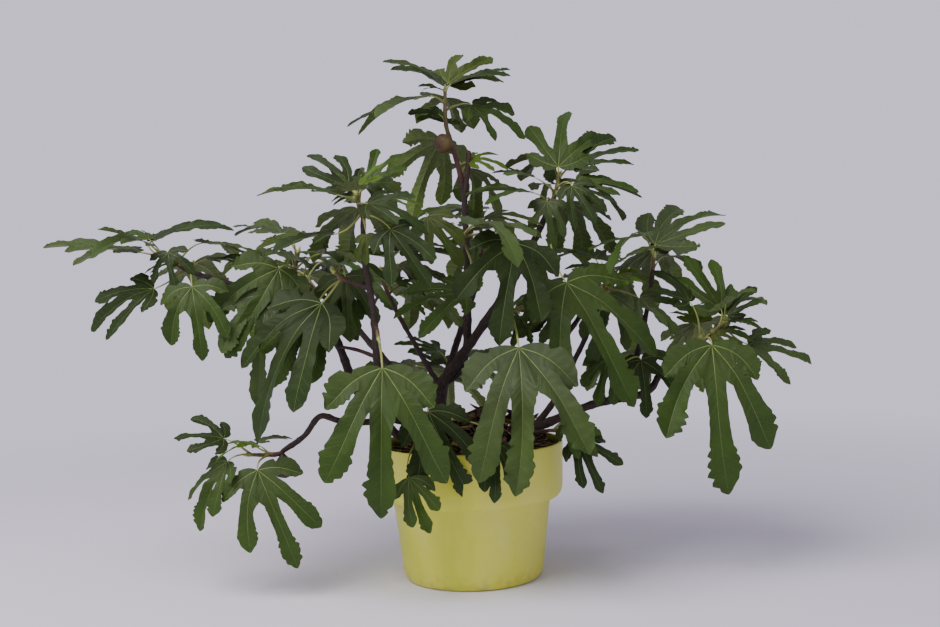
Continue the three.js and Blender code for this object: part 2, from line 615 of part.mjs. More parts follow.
// A seeded leaf: it turns round the stem by the golden section, older leaves have longer stalks,
// are larger and hang lower, and one that touches something is turned, and then left out.
function growSeeded(mass, k, draw) {
  const { count, toward, range } = mass.more;
  const [place, swing, rise, hang, size, tilt, sway] = Array.from({ length: 7 }, draw);
  const along = mix(...seeded.alongStem, (k + place) / count);
  const age = 1 - along;
  const golden = (k * seeded.goldenSection + 0.5) % 1;
  const heading = toward + range * (2 * golden - 1) + seeded.headingPlay * (swing - 0.5);
  const stalkPitch = mix(...seeded.stalkPitch, age) + seeded.stalkPlay * (rise - 0.5);
  const stalkLength = mix(...seeded.stalkLength, age) * mix(...seeded.stalkSizes, size);
  const bladePitch = mix(...seeded.bladePitch, age) + seeded.bladePlay * (hang - 0.5);
  const bladeLength = mix(...seeded.bladeLength, age) * mix(...seeded.bladeSizes, size);
  const facing = new THREE.Vector3(seeded.tiltPlay * (tilt - 0.5), seeded.tiltPlay * (sway - 0.5), 1);
  const breadth = mix(...seeded.breadths, swing);
  const from = mass.curve.getPoint(along);
  for (const turn of seeded.turns) {
    const base = from.clone().addScaledVector(ray(heading + turn, stalkPitch), stalkLength);
    const tip = base.clone().addScaledVector(ray(heading + turn, bladePitch), bladeLength);
    if (growLeaf(mass, [along, base, tip, facing, breadth], true)) return;
  }
}

function plantGrowth() {
  for (const limb of limbs) {
    const points = curveSamples(curveThrough(limb.path), limbSampleStep);
    take("limb", limb.name, points, Math.max(...limb.thick) / 2);
  }
  for (const mass of masses) {
    const bough = limbs.find((limb) => limb.name === mass.bough);
    const curve = curveThrough(bough.path);
    const onward = (d) => curve.getPoint(1).addScaledVector(curve.getTangent(1), d).toArray();
    mass.curve = curveThrough([onward(gap), onward(gap + straightStart), ...mass.stem]);
    mass.grown = [];
    mass.thick = [bough.thick[1], Math.min(tipThickness, bough.thick[1])];
    take("stem", mass.name, curveSamples(mass.curve, limbSampleStep), mass.thick[0] / 2);
  }
  for (const mass of masses) {
    for (const [along, base, tip, facing, breadth] of mass.leaves) {
      growLeaf(mass, [along, vector(base), vector(tip), vector(facings[facing]), breadth], false);
    }
  }
  masses.forEach((mass, index) => {
    const draw = draws(seeded.firstSeed + seeded.seedStep * index);
    for (let k = 0; k < (mass.more?.count ?? 0); k++) growSeeded(mass, k, draw);
  });
}

// A fig: a pear-shaped turning whose neck is sunk in the stem.
function figSolid(mass, [along, direction, size]) {
  const profile = [
    [0, 0], [0.07, 0.02], [0.14, 0.2], [0.36, 0.42], [0.43, 0.66], [0.34, 0.9], [0.1, 1], [0, 1],
  ];
  const outline = profile.map(([r, z]) => new THREE.Vector2(r * size, z * size));
  const turn = new THREE.Quaternion();
  turn.setFromUnitVectors(new THREE.Vector3(0, 1, 0), vector(direction).normalize());
  const at = mass.curve.getPoint(along);
  const geometry = new THREE.LatheGeometry(outline, size > 20 ? 8 : 5);
  geometry.applyQuaternion(turn).translate(at.x, at.y, at.z);
  return toSolid(geometry);
}

function massSolid(mass) {
  const steps = Math.max(3, Math.round(mass.curve.getLength() / stemStep));
  const [foot, tip] = mass.thick.map((d) => d / 2);
  let solid = toSolid(limbGeometry(mass.curve, (t) => mix(foot, tip, t), stemSides, steps));
  for (const { frame, stalk, breadth } of mass.grown) {
    const stalkRadius = (t) => mix(stalkThickness, stalkEnd * frame.length, t) / 2;
    const stalkGeometry = limbGeometry(stalk, stalkRadius, stalkSides, stalk.getLength() > longStalk ? 3 : 2);
    solid = solid.add(toSolid(stalkGeometry)).add(bladeSolid(frame, breadth));
  }
  for (const fig of mass.figs ?? []) solid = solid.add(figSolid(mass, fig));
  return wholeOf(solid);
}

// ---- the whole plant ----
const barkFinish = new THREE.MeshStandardMaterial({ color: barkColour, roughness: 0.85, metalness: 0 });
const leafFinish = new THREE.MeshStandardMaterial({ color: leafColour, roughness: 0.55, metalness: 0 });
const potFinish = new THREE.MeshStandardMaterial({ color: potColour, roughness: 0.5, metalness: 0 });
const soilFinish = new THREE.MeshStandardMaterial({ color: soilColour, roughness: 0.95, metalness: 0 });

const plant = new THREE.Group();
function addPiece(name, geometry, finish) {
  const mesh = new THREE.Mesh(geometry, finish);
  mesh.name = name;
  plant.add(mesh);
}

plantGrowth();
addPiece("pot", potGeometry(), potFinish);
addPiece("soil", soilGeometry(), soilFinish);
for (const limb of limbs) {
  let solid = limbSolid(limb, 0);
  for (const other of limbs) {
    if (other === limb) break;
    solid = solid.subtract(limbSolid(other, gap));
  }
  addPiece(limb.name, toGeometry(wholeOf(solid)), barkFinish);
}
for (const mass of masses) addPiece(mass.name, toGeometry(massSolid(mass)), leafFinish);

export default plant;
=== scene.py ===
# A young fig tree in a round plastic pot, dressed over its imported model: bark, twigs, leaves, figs,
# the pot's shell, soil and litter. Growth is worked out in millimetres, and meshes are in metres.
import math

import bpy
import numpy as np
from mathutils import Matrix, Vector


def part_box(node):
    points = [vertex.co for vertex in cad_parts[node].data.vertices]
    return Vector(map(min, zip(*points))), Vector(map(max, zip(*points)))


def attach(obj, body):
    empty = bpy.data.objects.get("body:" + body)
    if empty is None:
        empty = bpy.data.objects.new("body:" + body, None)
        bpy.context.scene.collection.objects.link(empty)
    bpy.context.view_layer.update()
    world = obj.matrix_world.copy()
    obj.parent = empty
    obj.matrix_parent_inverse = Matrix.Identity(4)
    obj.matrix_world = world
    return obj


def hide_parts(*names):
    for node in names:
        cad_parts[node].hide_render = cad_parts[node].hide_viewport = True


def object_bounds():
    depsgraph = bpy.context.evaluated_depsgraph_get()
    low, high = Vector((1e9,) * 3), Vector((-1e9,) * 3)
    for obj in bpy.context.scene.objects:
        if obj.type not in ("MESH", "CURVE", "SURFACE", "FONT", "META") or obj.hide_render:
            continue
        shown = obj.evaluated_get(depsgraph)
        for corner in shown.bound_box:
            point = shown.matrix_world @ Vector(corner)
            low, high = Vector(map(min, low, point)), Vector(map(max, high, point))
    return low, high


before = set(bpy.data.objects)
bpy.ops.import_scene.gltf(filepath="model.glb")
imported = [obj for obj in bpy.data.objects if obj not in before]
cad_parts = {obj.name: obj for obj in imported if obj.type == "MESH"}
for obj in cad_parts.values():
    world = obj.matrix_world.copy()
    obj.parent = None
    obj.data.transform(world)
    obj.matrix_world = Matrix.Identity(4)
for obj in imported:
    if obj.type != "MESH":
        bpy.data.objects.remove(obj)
cadBox = [list(corner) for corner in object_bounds()]
print("frame loaded")


def unit(v):
    return v / np.linalg.norm(v, axis=-1, keepdims=True)


def mix(a, b, t):
    return (1 - t) * a + t * b


def smooth(t):
    t = np.clip(t, 0, 1)
    return t * t * (3 - 2 * t)


def easeIn(value, start, over):
    # 0 up to the start, and 1 from "over" beyond it
    return smooth((value - start) / over)


def bell(off, width):
    return np.exp(-((off / width) ** 2))


def evenTurns(sides):
    return np.arange(sides) * 2 * np.pi / sides


def runAlong(path):
    # how far along a path each of its points lies
    return np.concatenate([[0], np.cumsum(np.linalg.norm(np.diff(path, axis=0), axis=1))])


def addObject(name, data, axes=None, place=None):
    # an object in the scene, turned to three axes and set at a place where they are given
    thing = bpy.data.objects.new(name, data)
    bpy.context.scene.collection.objects.link(thing)
    if axes:
        thing.matrix_world = Matrix([*np.column_stack([*axes, place]).tolist(), [0, 0, 0, 1]])
    return thing


# The camera stands level with the crown's middle and looks a little down, turned a little on its axis.
cameraView = {"place": (0.006, -2.108, 0.532), "pitch": 2.8, "roll": 1.7, "lens": 49.79, "sensor": 36}


def addCamera():
    pitch, roll = math.radians(cameraView["pitch"]), math.radians(cameraView["roll"])
    ahead = np.array([0, math.cos(pitch), -math.sin(pitch)])
    level, rise = np.array([1.0, 0, 0]), np.array([0, math.sin(pitch), math.cos(pitch)])
    up = rise * math.cos(roll) + level * math.sin(roll)
    right = level * math.cos(roll) - rise * math.sin(roll)
    data = bpy.data.cameras.new("viewCamera")
    data.sensor_width, data.sensor_fit, data.lens = cameraView["sensor"], "HORIZONTAL", cameraView["lens"]
    bpy.context.scene.camera = addObject("viewCamera", data, (right, up, -ahead), cameraView["place"])


addCamera()

gap = 0.3        # between a limb's tip or the soil and what grows on from it
phases = (0, 6)  # where a drawn wave starts, in radians
pot = {"height": 221, "rim": 151, "collar": 90, "wall": 4, "soil": 200, "sides": 192}
soilTop = pot["soil"]

# Limbs: the points that each runs through, and its thickness at foot and tip.
limbs = [
    dict(name="trunk", path=[[-50, 0, soilTop + gap], [-50, 0, 245], [-50, 2, 322]], thick=[27, 21]),
    dict(name="leader", thick=[14, 9],
        path=[[-50, 2, 312], [-14, 14, 338], [1, 20, 400], [3, 20, 593], [-2, 20, 645]]),
    dict(name="right_bough", thick=[17, 10],
        path=[[-50, 2, 308], [13, 8, 390], [83, 25, 488], [136, 40, 584]]),
    dict(name="inner_twig", thick=[9, 6], path=[[-50, 2, 316], [-106, -10, 423], [-122, -20, 460]]),
    dict(name="left_bough", thick=[17, 8],
        path=[[-50, 0, 258], [-120, -5, 262], [-178, 10, 300], [-222, 20, 408], [-275, 20, 456],
            [-384, 10, 489], [-440, 0, 508]]),
    dict(name="front_left_bough", thick=[15, 8],
        path=[[-50, 0, 238], [-95, -50, 236], [-126, -98, 264], [-137, -122, 340], [-141, -130, 439],
            [-152, -130, 523], [-152, -130, 580]]),
    dict(name="low_left_bough", thick=[11, 8],
        path=[[-122, -5, 263], [-165, -40, 262], [-205, -60, 268], [-236, -62, 276], [-262, -62, 246],
            [-296, -60, 223]]),
    dict(name="right_low_bough", thick=[18, 9],
        path=[[-50, 0, 236], [80, 0, 234], [200, 0, 274], [287, 0, 291], [316, 0, 326], [363, 0, 359]]),
    dict(name="right_middle_bough", thick=[11, 7],
        path=[[105, 0, 240], [139, 15, 280], [171, 20, 339], [191, 20, 376], [217, 20, 436]]),
    dict(name="right_upper_bough", thick=[10, 7],
        path=[[250, 0, 286], [275, 20, 340], [302, 38, 440], [308, 40, 478]]),
    dict(name="leader_spur", thick=[7, 6], path=[[2, 20, 535], [-2, -20, 547]]),
    dict(name="right_spur", thick=[7, 6], path=[[48, 17, 438], [64, -25, 432]]),
    dict(name="left_spur", thick=[8, 7], path=[[-275, 20, 456], [-277, 14, 494]]),
    dict(name="front_spur", thick=[7, 6], path=[[-146, -130, 478], [-178, -126, 490]]),
    dict(name="low_front_spur", thick=[7, 6], path=[[-140, -129, 425], [-135, -162, 420]]),
    dict(name="right_low_spur", thick=[7, 6], path=[[240, 0, 282], [238, -22, 316]]),
    dict(name="left_twig", thick=[6, 5],
        path=[[-138, -124, 372], [-168, -122, 384], [-196, -120, 390]]),
    dict(name="front_low_bough", thick=[9, 7], path=[[-50, 0, 226], [-38, -60, 246], [-44, -105, 268]]),
    dict(name="rim_sprout_bough", thick=[8, 6], path=[[45, 0, 232], [95, -62, 240], [118, -88, 246]]),
    dict(name="back_bough", thick=[13, 8],
        path=[[-50, 0, 286], [-20, 85, 370], [18, 165, 470], [26, 190, 515]]),
    dict(name="back_left_bough", thick=[14, 8],
        path=[[-50, 0, 270], [-120, 95, 325], [-215, 180, 425], [-262, 215, 462]]),
    dict(name="back_right_bough", thick=[14, 8],
        path=[[-50, 0, 246], [60, 80, 280], [170, 180, 372], [215, 225, 425]]),
    dict(name="back_low_bough", thick=[10, 7], path=[[-50, 0, 232], [-48, 90, 250], [-40, 165, 290]]),
]

# Masses: the bough whose tip carries each, the rest of its stem, its leaves, and its figs. A leaf is (place
# along the stem, base, tip, facing, breadth); "more" says how many seeded leaves join them, the heading they
# keep to and how far to each side of it they turn; "finer" leaves are placed after the seeded ones. A fig is
# (place along the stem, the way that it hangs, size).
masses = [
    dict(name="top_foliage", bough="leader", stem=[[-13, 20, 695], [-24, 20, 738], [-24, 20, 792]],
        leaves=[
            [0.97, [-25, 20, 802], [-120, 50, 855], "up", 0.9],
            [0.98, [-14, 20, 802], [97, 40, 818], "up", 0.8],
            [0.99, [-18, 32, 806], [58, 95, 850], "slope", 0.9],
            [0.90, [-50, 0, 782], [-185, -30, 730], "up", 0.8],
            [0.85, [20, 40, 770], [98, 25, 708], "right", 0.9],
            [0.55, [-35, 62, 715], [-92, 95, 590], "back", 0.9],
        ],
        more=(2, 90, 70),
        figs=[[0.58, [-0.5, -0.85, -0.15], 36]]),
    dict(name="upper_right_foliage", bough="right_bough", stem=[[150, 44, 614], [160, 40, 650]],
        leaves=[
            [0.45, [160, -56, 476], [258, -118, 280], "frontRight", 0.95],
            [0.97, [158, 32, 664], [172, 128, 762], "slope", 0.9],
            [0.95, [182, 42, 666], [300, 66, 692], "slope", 0.8],
            [0.85, [186, 2, 636], [282, 6, 616], "slope", 0.8],
            [0.80, [176, -14, 630], [208, -46, 562], "front", 0.9],
            [0.55, [136, -2, 606], [136, -24, 535], "front", 0.9],
            [0.75, [116, 22, 648], [48, 32, 656], "up", 0.8],
            [0.45, [112, -2, 622], [8, -20, 614], "up", 0.7],
        ],
        more=(3, 80, 80)),
    dict(name="upper_left_foliage", bough="front_left_bough", stem=[[-158, -130, 605], [-162, -130, 622]],
        leaves=[
            [0.95, [-172, -122, 634], [-242, -78, 690], "slope", 0.9],
            [0.90, [-142, -112, 642], [-88, -68, 688], "slope", 0.9],
            [0.85, [-190, -150, 622], [-312, -160, 632], "up", 0.8],
            [0.70, [-140, -172, 606], [-54, -202, 578], "slope", 0.9],
            [0.45, [-196, -162, 562], [-322, -172, 530], "up", 0.8],
            [0.40, [-108, -182, 566], [-54, -214, 478], "front", 0.9],
            [0.20, [-146, -158, 560], [-140, -170, 512], "front", 0.8],
        ],
        more=(3, 90, 90)),
    dict(name="far_left_foliage", bough="left_bough", stem=[[-466, 0, 522], [-496, 2, 538]],
        leaves=[
            [0.55, [-475, -22, 542], [-456, -52, 478], "front", 1.1],
            [0.20, [-430, -62, 487], [-411, -92, 371], "front", 1.0],
            [0.97, [-527, 0, 545], [-684, -12, 541], "up", 0.8],
            [0.80, [-512, 24, 562], [-384, 72, 600], "up", 0.8],
            [0.45, [-500, -22, 485], [-607, -30, 430], "left", 0.8],
            [0.20, [-424, 40, 530], [-345, 52, 512], "up", 0.8],
            [0.90, [-516, 24, 566], [-568, 66, 584], "up", 0.9],
        ],
        more=(3, 90, 80)),
    dict(name="left_foliage", bough="left_spur", stem=[[-276, 12, 512], [-270, 12, 538]],
        leaves=[
            [0.50, [-297, -30, 511], [-378, -62, 374], "front", 0.9],
        ],
        finer=[[0.20, [-314, -44, 470], [-348, -72, 318], "front", 0.85]],
        more=(4, 100, 150)),
    dict(name="front_left_foliage", bough="front_spur", stem=[[-190, -122, 496], [-200, -118, 504]],
        leaves=[
            [0.60, [-222, -108, 457], [-342, -158, 287], "frontLeft", 0.78],
        ],
        finer=[
            [0.90, [-190, -45, 495], [-175, -60, 387], "front", 0.95],
            [0.90, [-194, -10, 494], [-185, -20, 393], "front", 0.95],
            [0.90, [-213, 20, 481], [-188, 10, 391], "front", 0.95],
            [0.30, [-232, -66, 457], [-300, -86, 318], "front", 0.8],
        ],
        more=(2, 90, 120)),
    dict(name="front_foliage", bough="low_front_spur", stem=[[-133, -172, 416], [-131, -182, 404]],
        leaves=[
            [0.80, [-126, -192, 362], [-121, -238, 138], "front", 0.74],
        ]),
    dict(name="middle_foliage", bough="inner_twig", stem=[[-130, -24, 480], [-135, -26, 502]],
        leaves=[],
        more=(3, 68, 120)),
    dict(name="lower_left_foliage", bough="low_left_bough", stem=[[-322, -60, 217], [-350, -60, 218]],
        leaves=[
            [0.97, [-390, -62, 246], [-472, -62, 255], "slope", 1.1],
            [0.90, [-381, -82, 212], [-432, -92, 108], "left", 0.8],
            [0.60, [-331, -102, 200], [-282, -132, 54], "front", 0.9],
            [0.50, [-340, -25, 234], [-288, 5, 238], "up", 0.9],
        ],
        figs=[[0.12, [0.1, 0, -1], 42]]),
    dict(name="centre_foliage", bough="leader_spur", stem=[[-2, -36, 551], [-1, -52, 556]],
        leaves=[
            [0.80, [80, -95, 540], [30, -150, 382], "front", 0.95],
            [0.70, [-56, -72, 586], [-8, -80, 508], "front", 0.8],
            [0.30, [-4, -82, 466], [-116, -112, 434], "slope", 0.9],
        ],
        more=(3, 60, 160)),
    dict(name="front_right_foliage", bough="right_spur", stem=[[68, -42, 430], [72, -58, 428]],
        leaves=[
            [0.80, [78, -155, 383], [90, -232, 160], "front", 0.76],
        ],
        finer=[
            [0.30, [147, 20, 436], [78, 5, 387], "front", 0.9],
            [0.30, [87, 0, 422], [72, -20, 366], "front", 0.95],
            [0.30, [159, 40, 445], [103, 20, 388], "front", 0.9],
        ],
        more=(2, 30, 60)),
    dict(name="right_middle_foliage", bough="right_middle_bough", stem=[[225, 20, 458], [230, 20, 478]],
        leaves=[
            [0.80, [282, 0, 446], [352, -12, 388], "slope", 0.8],
            [0.90, [240, 22, 488], [170, 12, 505], "up", 0.8],
            [0.30, [231, -12, 455], [210, -42, 352], "front", 0.9],
        ],
        more=(3, 98, 100)),
    dict(name="right_upper_foliage", bough="right_upper_bough", stem=[[311, 40, 496], [313, 40, 512]],
        leaves=[
            [0.95, [315, 42, 532], [438, 128, 596], "slope", 0.75],
        ],
        more=(3, 110, 100)),
    dict(name="far_right_foliage", bough="right_low_bough", stem=[[384, 0, 374], [418, 0, 402]],
        leaves=[
            [0.60, [386, -62, 371], [375, -110, 162], "front", 0.85],
            [0.97, [456, 0, 366], [557, -12, 314], "right", 0.8],
            [0.50, [374, -40, 352], [306, -52, 345], "slope", 0.8],
            [0.55, [362, -4, 438], [292, 8, 490], "slope", 0.9],
            [0.90, [414, 2, 424], [364, 22, 510], "front", 0.8],
            [0.95, [424, 4, 414], [472, 32, 462], "slope", 0.9],
            [0.96, [424, -12, 405], [478, -32, 392], "up", 0.8],
        ],
        figs=[[0.98, [0.5, 0.1, 0.6], 14]],
        more=(2, 80, 70)),
    dict(name="right_low_foliage", bough="right_low_spur", stem=[[236, -25, 336], [236, -22, 352]],
        leaves=[
            [0.60, [280, -14, 346], [297, -30, 244], "front", 1.1],
            [0.50, [226, -22, 351], [200, -44, 268], "front", 0.9],
        ],
        more=(3, 88, 90)),
    dict(name="low_front_foliage", bough="front_low_bough", stem=[[-48, -120, 276], [-52, -132, 284]],
        leaves=[
            [0.80, [-62, -152, 290], [-16, -172, 156], "front", 0.8],
            [0.50, [38, -160, 240], [46, -184, 150], "front", 0.7],
            [0.60, [-92, -186, 196], [-64, -202, 112], "front", 0.7],
        ]),
    dict(name="rim_sprout_foliage", bough="rim_sprout_bough", stem=[[130, -98, 248], [142, -104, 248]],
        leaves=[
            [0.80, [168, -108, 232], [206, -132, 154], "front", 0.9],
            [0.70, [150, -112, 262], [196, -142, 212], "front", 0.9],
        ]),
    dict(name="back_foliage", bough="back_bough", stem=[[30, 204, 545], [30, 214, 585]],
        leaves=[], more=(6, 80, 180)),
    dict(name="back_left_foliage", bough="back_left_bough", stem=[[-288, 234, 484], [-318, 250, 510]],
        leaves=[], more=(6, 120, 180)),
    dict(name="back_right_foliage", bough="back_right_bough", stem=[[232, 244, 448], [252, 262, 482]],
        leaves=[], more=(6, 56, 180)),
    dict(name="back_low_foliage", bough="back_low_bough", stem=[[-36, 190, 305], [-32, 212, 322]],
        leaves=[], more=(5, 90, 100)),
]

# Which way a leaf's upper side looks.
facings = {
    "front": [0, -1, 0.25],
    "up": [0, -0.1, 1],
    "slope": [0, -0.6, 0.8],
    "back": [0, 1, 0.3],
    "left": [-0.7, -0.7, 0.4],
    "right": [0.7, -0.7, 0.4],
    "frontRight": [0.35, -0.9, 0.3],
    "frontLeft": [-0.5, -0.85, 0.3],
}

# How a leaf is bent and how far its lobes reach, where the clear space round it is tested.
leafForm = {
    "curl": 0.55,            # radians that a blade bends down from its base to its tip
    "fold": 0.10,            # rise of its two halves on either side of the midrib
    "lobes": [(-80, 0.46, 0.085), (-36, 0.82, 0.105), (0, 1.0, 0.115), (36, 0.82, 0.105), (80, 0.46, 0.085)],
    "stalk": 4.2,            # thickness of its stalk at the stem
    "stalkSink": 0.05, "stalkBow": 0.4,
}

# The clear space that leaves keep, and the steps that it is tested at.
room = {
    "blade": 12, "own": 9, "limb": 6, "stalk": 7, "stalkLimb": 3, "pot": 7, "stalkPot": 5, "floor": 12,
    "step": 15, "limbStep": 9, "stalkStep": 10, "longestStalk": 150,
    "across": [-0.6, 0, 0.6], "atTip": 0.2,   # shares of a lobe's half width, and what the tip keeps of them
}

# Seeded leaves. Pitches and lengths go from the youngest leaf, at a stem's tip, to the oldest, near its
# foot; the other pairs are the ends of a range.
seeded = {
    "firstSeed": 4000, "seedStep": 37, "alongStem": (0.2, 0.98), "goldenSection": 0.618034,
    "stalkPitch": (50, 8), "stalkLength": (45, 95), "bladePitch": (0, -48), "bladeLength": (105, 185),
    "headingPlay": 30, "stalkPlay": 24, "bladePlay": 30, "tiltPlay": 0.7,
    "stalkSizes": (0.85, 1.15), "bladeSizes": (0.8, 1.15), "breadths": (0.8, 1.05),
    "turns": (0, 30, -30, 60, -60, 100, -100),
}

# How far a mass's stem first runs straight on from its bough, and how thick its tip is at most.
stemForm = {"straight": 8, "tip": 5.5}

# The finer leaves that shoots carry beside those, small and fresh, inside the same reach.
fresh = {
    "firstSeed": 9100, "perMass": 4, "alongStem": (0.35, 1.0), "stalkPitch": (62, 20),
    "stalkLength": (16, 55), "bladePitch": (30, -35), "bladeLength": (48, 112), "inside": 4,
    "stalkPlay": 30, "bladePlay": 40, "forward": 0.3, "breadths": (0.75, 0.95), "sizes": (1, 0.8),
}


def curveAt(path, t):
    # Catmull-Rom through the points, its ends reflected: the cubic whose slope at each point is half the
    # way from the point before to the one after.
    path, t = np.asarray(path, float), np.asarray(t, float)
    padded = np.vstack([2 * path[0] - path[1], path, 2 * path[-1] - path[-2]])
    place = np.clip(t, 0, 1) * (len(path) - 1)
    k = np.minimum(place.astype(int), len(path) - 2)
    s = (place - k)[..., None]
    before, here, there, after = (padded[k + i] for i in range(4))
    leave, arrive = (there - before) / 2, (after - here) / 2
    square, cube = 3 * (there - here) - 2 * leave - arrive, 2 * (here - there) + leave + arrive
    return here + s * (leave + s * (square + s * cube))


def tangentAt(path, t):
    # the way from a little before t to a little after it
    return unit(curveAt(path, min(t + 1e-4, 1)) - curveAt(path, max(t - 1e-4, 0)))


def bezierAt(ends, t):
    # a quadratic Bezier: the weights (1-t)^2, 2t(1-t) and t^2 on its three points
    t = np.asarray(t, float)[..., None]
    return (1 - t) ** 2 * ends[0] + 2 * t * (1 - t) * ends[1] + t**2 * ends[2]


def evenPoints(at, step, least=2):
    # points at even parameters, about a step apart, and at least one more than "least"
    chords = np.diff(at(np.linspace(0, 1, 201)), axis=0)
    count = max(least, math.ceil(np.linalg.norm(chords, axis=1).sum() / step))
    return at(np.linspace(0, 1, count + 1))


def draws(seed):
    # numbers from 0 to 1, each the last one times 16807, the remainder by 2^31 - 1 kept
    state = seed
    while True:
        state = state * 16807 % 2147483647
        yield state / 2147483647


def ray(heading, pitch):
    # a unit vector turned by heading round +Z from +X, and by pitch up from level
    heading, pitch = math.radians(heading), math.radians(pitch)
    level = math.cos(pitch)
    return np.array([level * math.cos(heading), level * math.sin(heading), math.sin(pitch)])


def leafFrame(base, tip, facing):
    # the chord from base to tip, turned up by half the curl, is the way the blade sets out
    chord = tip - base
    reach = np.linalg.norm(chord)
    chord = chord / reach
    normal = unit(facing - chord * (facing @ chord))
    half = leafForm["curl"] / 2
    forward = chord * math.cos(half) + normal * math.sin(half)
    up = normal * math.cos(half) - chord * math.sin(half)
    return {"base": base, "forward": forward, "side": np.cross(up, forward), "up": up,
            "length": reach * half / math.sin(half)}


def onBlade(leaf, x, y, z):
    # The flat blade's points (x along the midrib, y across, z off it) laid on the bent one: every ray from
    # the base is an arc that turns down by the curl for each leaf's length, and the halves rise by the fold.
    bend = leafForm["curl"] * np.hypot(x, y)
    keep = np.sinc(bend / np.pi)
    lift = z + leafForm["fold"] * np.abs(y) - (1 - np.cos(bend)) / leafForm["curl"]
    way = np.multiply.outer(x * keep, leaf["forward"]) + np.multiply.outer(y * keep, leaf["side"])
    return leaf["base"] + leaf["length"] * (way + np.multiply.outer(lift, leaf["up"]))


def stalkEnds(foot, leaf):
    # the stalk's Bezier points: it turns into line with the midrib, inside the blade's base
    end = leaf["base"] + leaf["forward"] * leafForm["stalkSink"] * leaf["length"]
    bow = leafForm["stalkBow"] * np.linalg.norm(foot - leaf["base"])
    return np.array([foot, leaf["base"] - leaf["forward"] * bow, end])


def bladeSamples(leaf, breadth):
    # points along each lobe's middle and on either side of it
    along, across, angles = [], [], []
    for angle, reach, half in leafForm["lobes"]:
        count = math.ceil(reach * leaf["length"] / room["step"])
        for k in range(1, count + 1):
            for side in room["across"]:
                along.append(reach * k / count)
                across.append(side * half * (1 if k < count else room["atTip"]))
                angles.append(math.radians(angle * breadth))
    along, across, angles = np.array(along), np.array(across), np.array(angles)
    x = along * np.cos(angles) - across * np.sin(angles)
    y = along * np.sin(angles) + across * np.cos(angles)
    return onBlade(leaf, x, y, 0 * x)


taken = []   # what already has its place


def take(kind, owner, points, radius):
    middle = points.mean(axis=0)
    reach = np.linalg.norm(points - middle, axis=1).max()
    taken.append({"kind": kind, "owner": owner, "points": points, "radius": radius, "middle": middle,
                  "reach": reach})


def touches(points, middle, reach, other, clear):
    # whether the least distance between the two sets of points is under the clear space
    least = clear + other["radius"]
    if np.linalg.norm(middle - other["middle"]) > reach + other["reach"] + least:
        return False
    apart = points[:, None, :] - other["points"][None, :, :]
    return bool(((apart**2).sum(axis=2) < least**2).any())


def meetsPot(blade, stalk):
    out = np.hypot(blade[:, 0], blade[:, 1])
    low = blade[:, 2] < pot["height"] + room["pot"]
    if (blade[:, 2] < room["floor"]).any() or (low & (out < pot["rim"] + room["pot"])).any():
        return True
    out = np.hypot(stalk[:, 0], stalk[:, 1])
    top = np.where(out > pot["rim"] - 2 * pot["wall"], pot["height"], soilTop)
    return bool(((out < pot["rim"] + pot["wall"]) & (stalk[:, 2] < top + room["stalkPot"])).any())


def leafMeets(owner, blade, stalk, ownTest):
    if meetsPot(blade, stalk):
        return True
    middle = blade.mean(axis=0)
    reach = np.linalg.norm(blade - middle, axis=1).max()
    wide = reach + room["longestStalk"]
    for other in taken:
        if other["kind"] == "limb":
            hit = touches(blade, middle, reach, other, room["limb"])
            hit = hit or touches(stalk[2:], middle, wide, other, room["stalkLimb"])
        elif other["owner"] == owner:
            hit = ownTest and other["kind"] == "blade"
            hit = hit and touches(blade, middle, reach, other, room["own"])
        else:
            clear = room["blade"] if other["kind"] == "blade" else room["stalk"]
            hit = touches(blade, middle, reach, other, clear)
            hit = hit or touches(stalk, middle, wide, other, room["stalk"])
        if hit:
            return True
    return False


def growLeaf(mass, along, base, tip, facing, breadth, ownTest, box=None):
    # grows one leaf on a mass's stem, and says whether there was room for it
    leaf = leafFrame(base, tip, facing)
    ends = stalkEnds(curveAt(mass["curve"], along), leaf)
    blade = bladeSamples(leaf, breadth)
    stalk = evenPoints(lambda t: bezierAt(ends, t), room["stalkStep"])
    if box is not None and ((blade < box[0]).any() or (blade > box[1]).any()):
        return False
    if leafMeets(mass["name"], blade, stalk, ownTest):
        return False
    mass["grown"].append({**leaf, "stalk": ends, "breadth": breadth, "along": along})
    take("blade", mass["name"], blade, 0)
    take("stalk", mass["name"], stalk, leafForm["stalk"] / 2)
    return True


def growTurned(mass, along, heading, stalk, blade, facing, breadth, sizes=(1,), box=None):
    # Tries a leaf at each turn from its heading, at each size, until one has room, and says whether one
    # had; its stalk and blade are each a pitch and a length.
    foot = curveAt(mass["curve"], along)
    for turn in seeded["turns"]:
        for size in sizes:
            base = foot + ray(heading + turn, stalk[0]) * stalk[1] * size
            tip = base + ray(heading + turn, blade[0]) * blade[1] * size
            if growLeaf(mass, along, base, tip, facing, breadth, True, box):
                return True
    return False


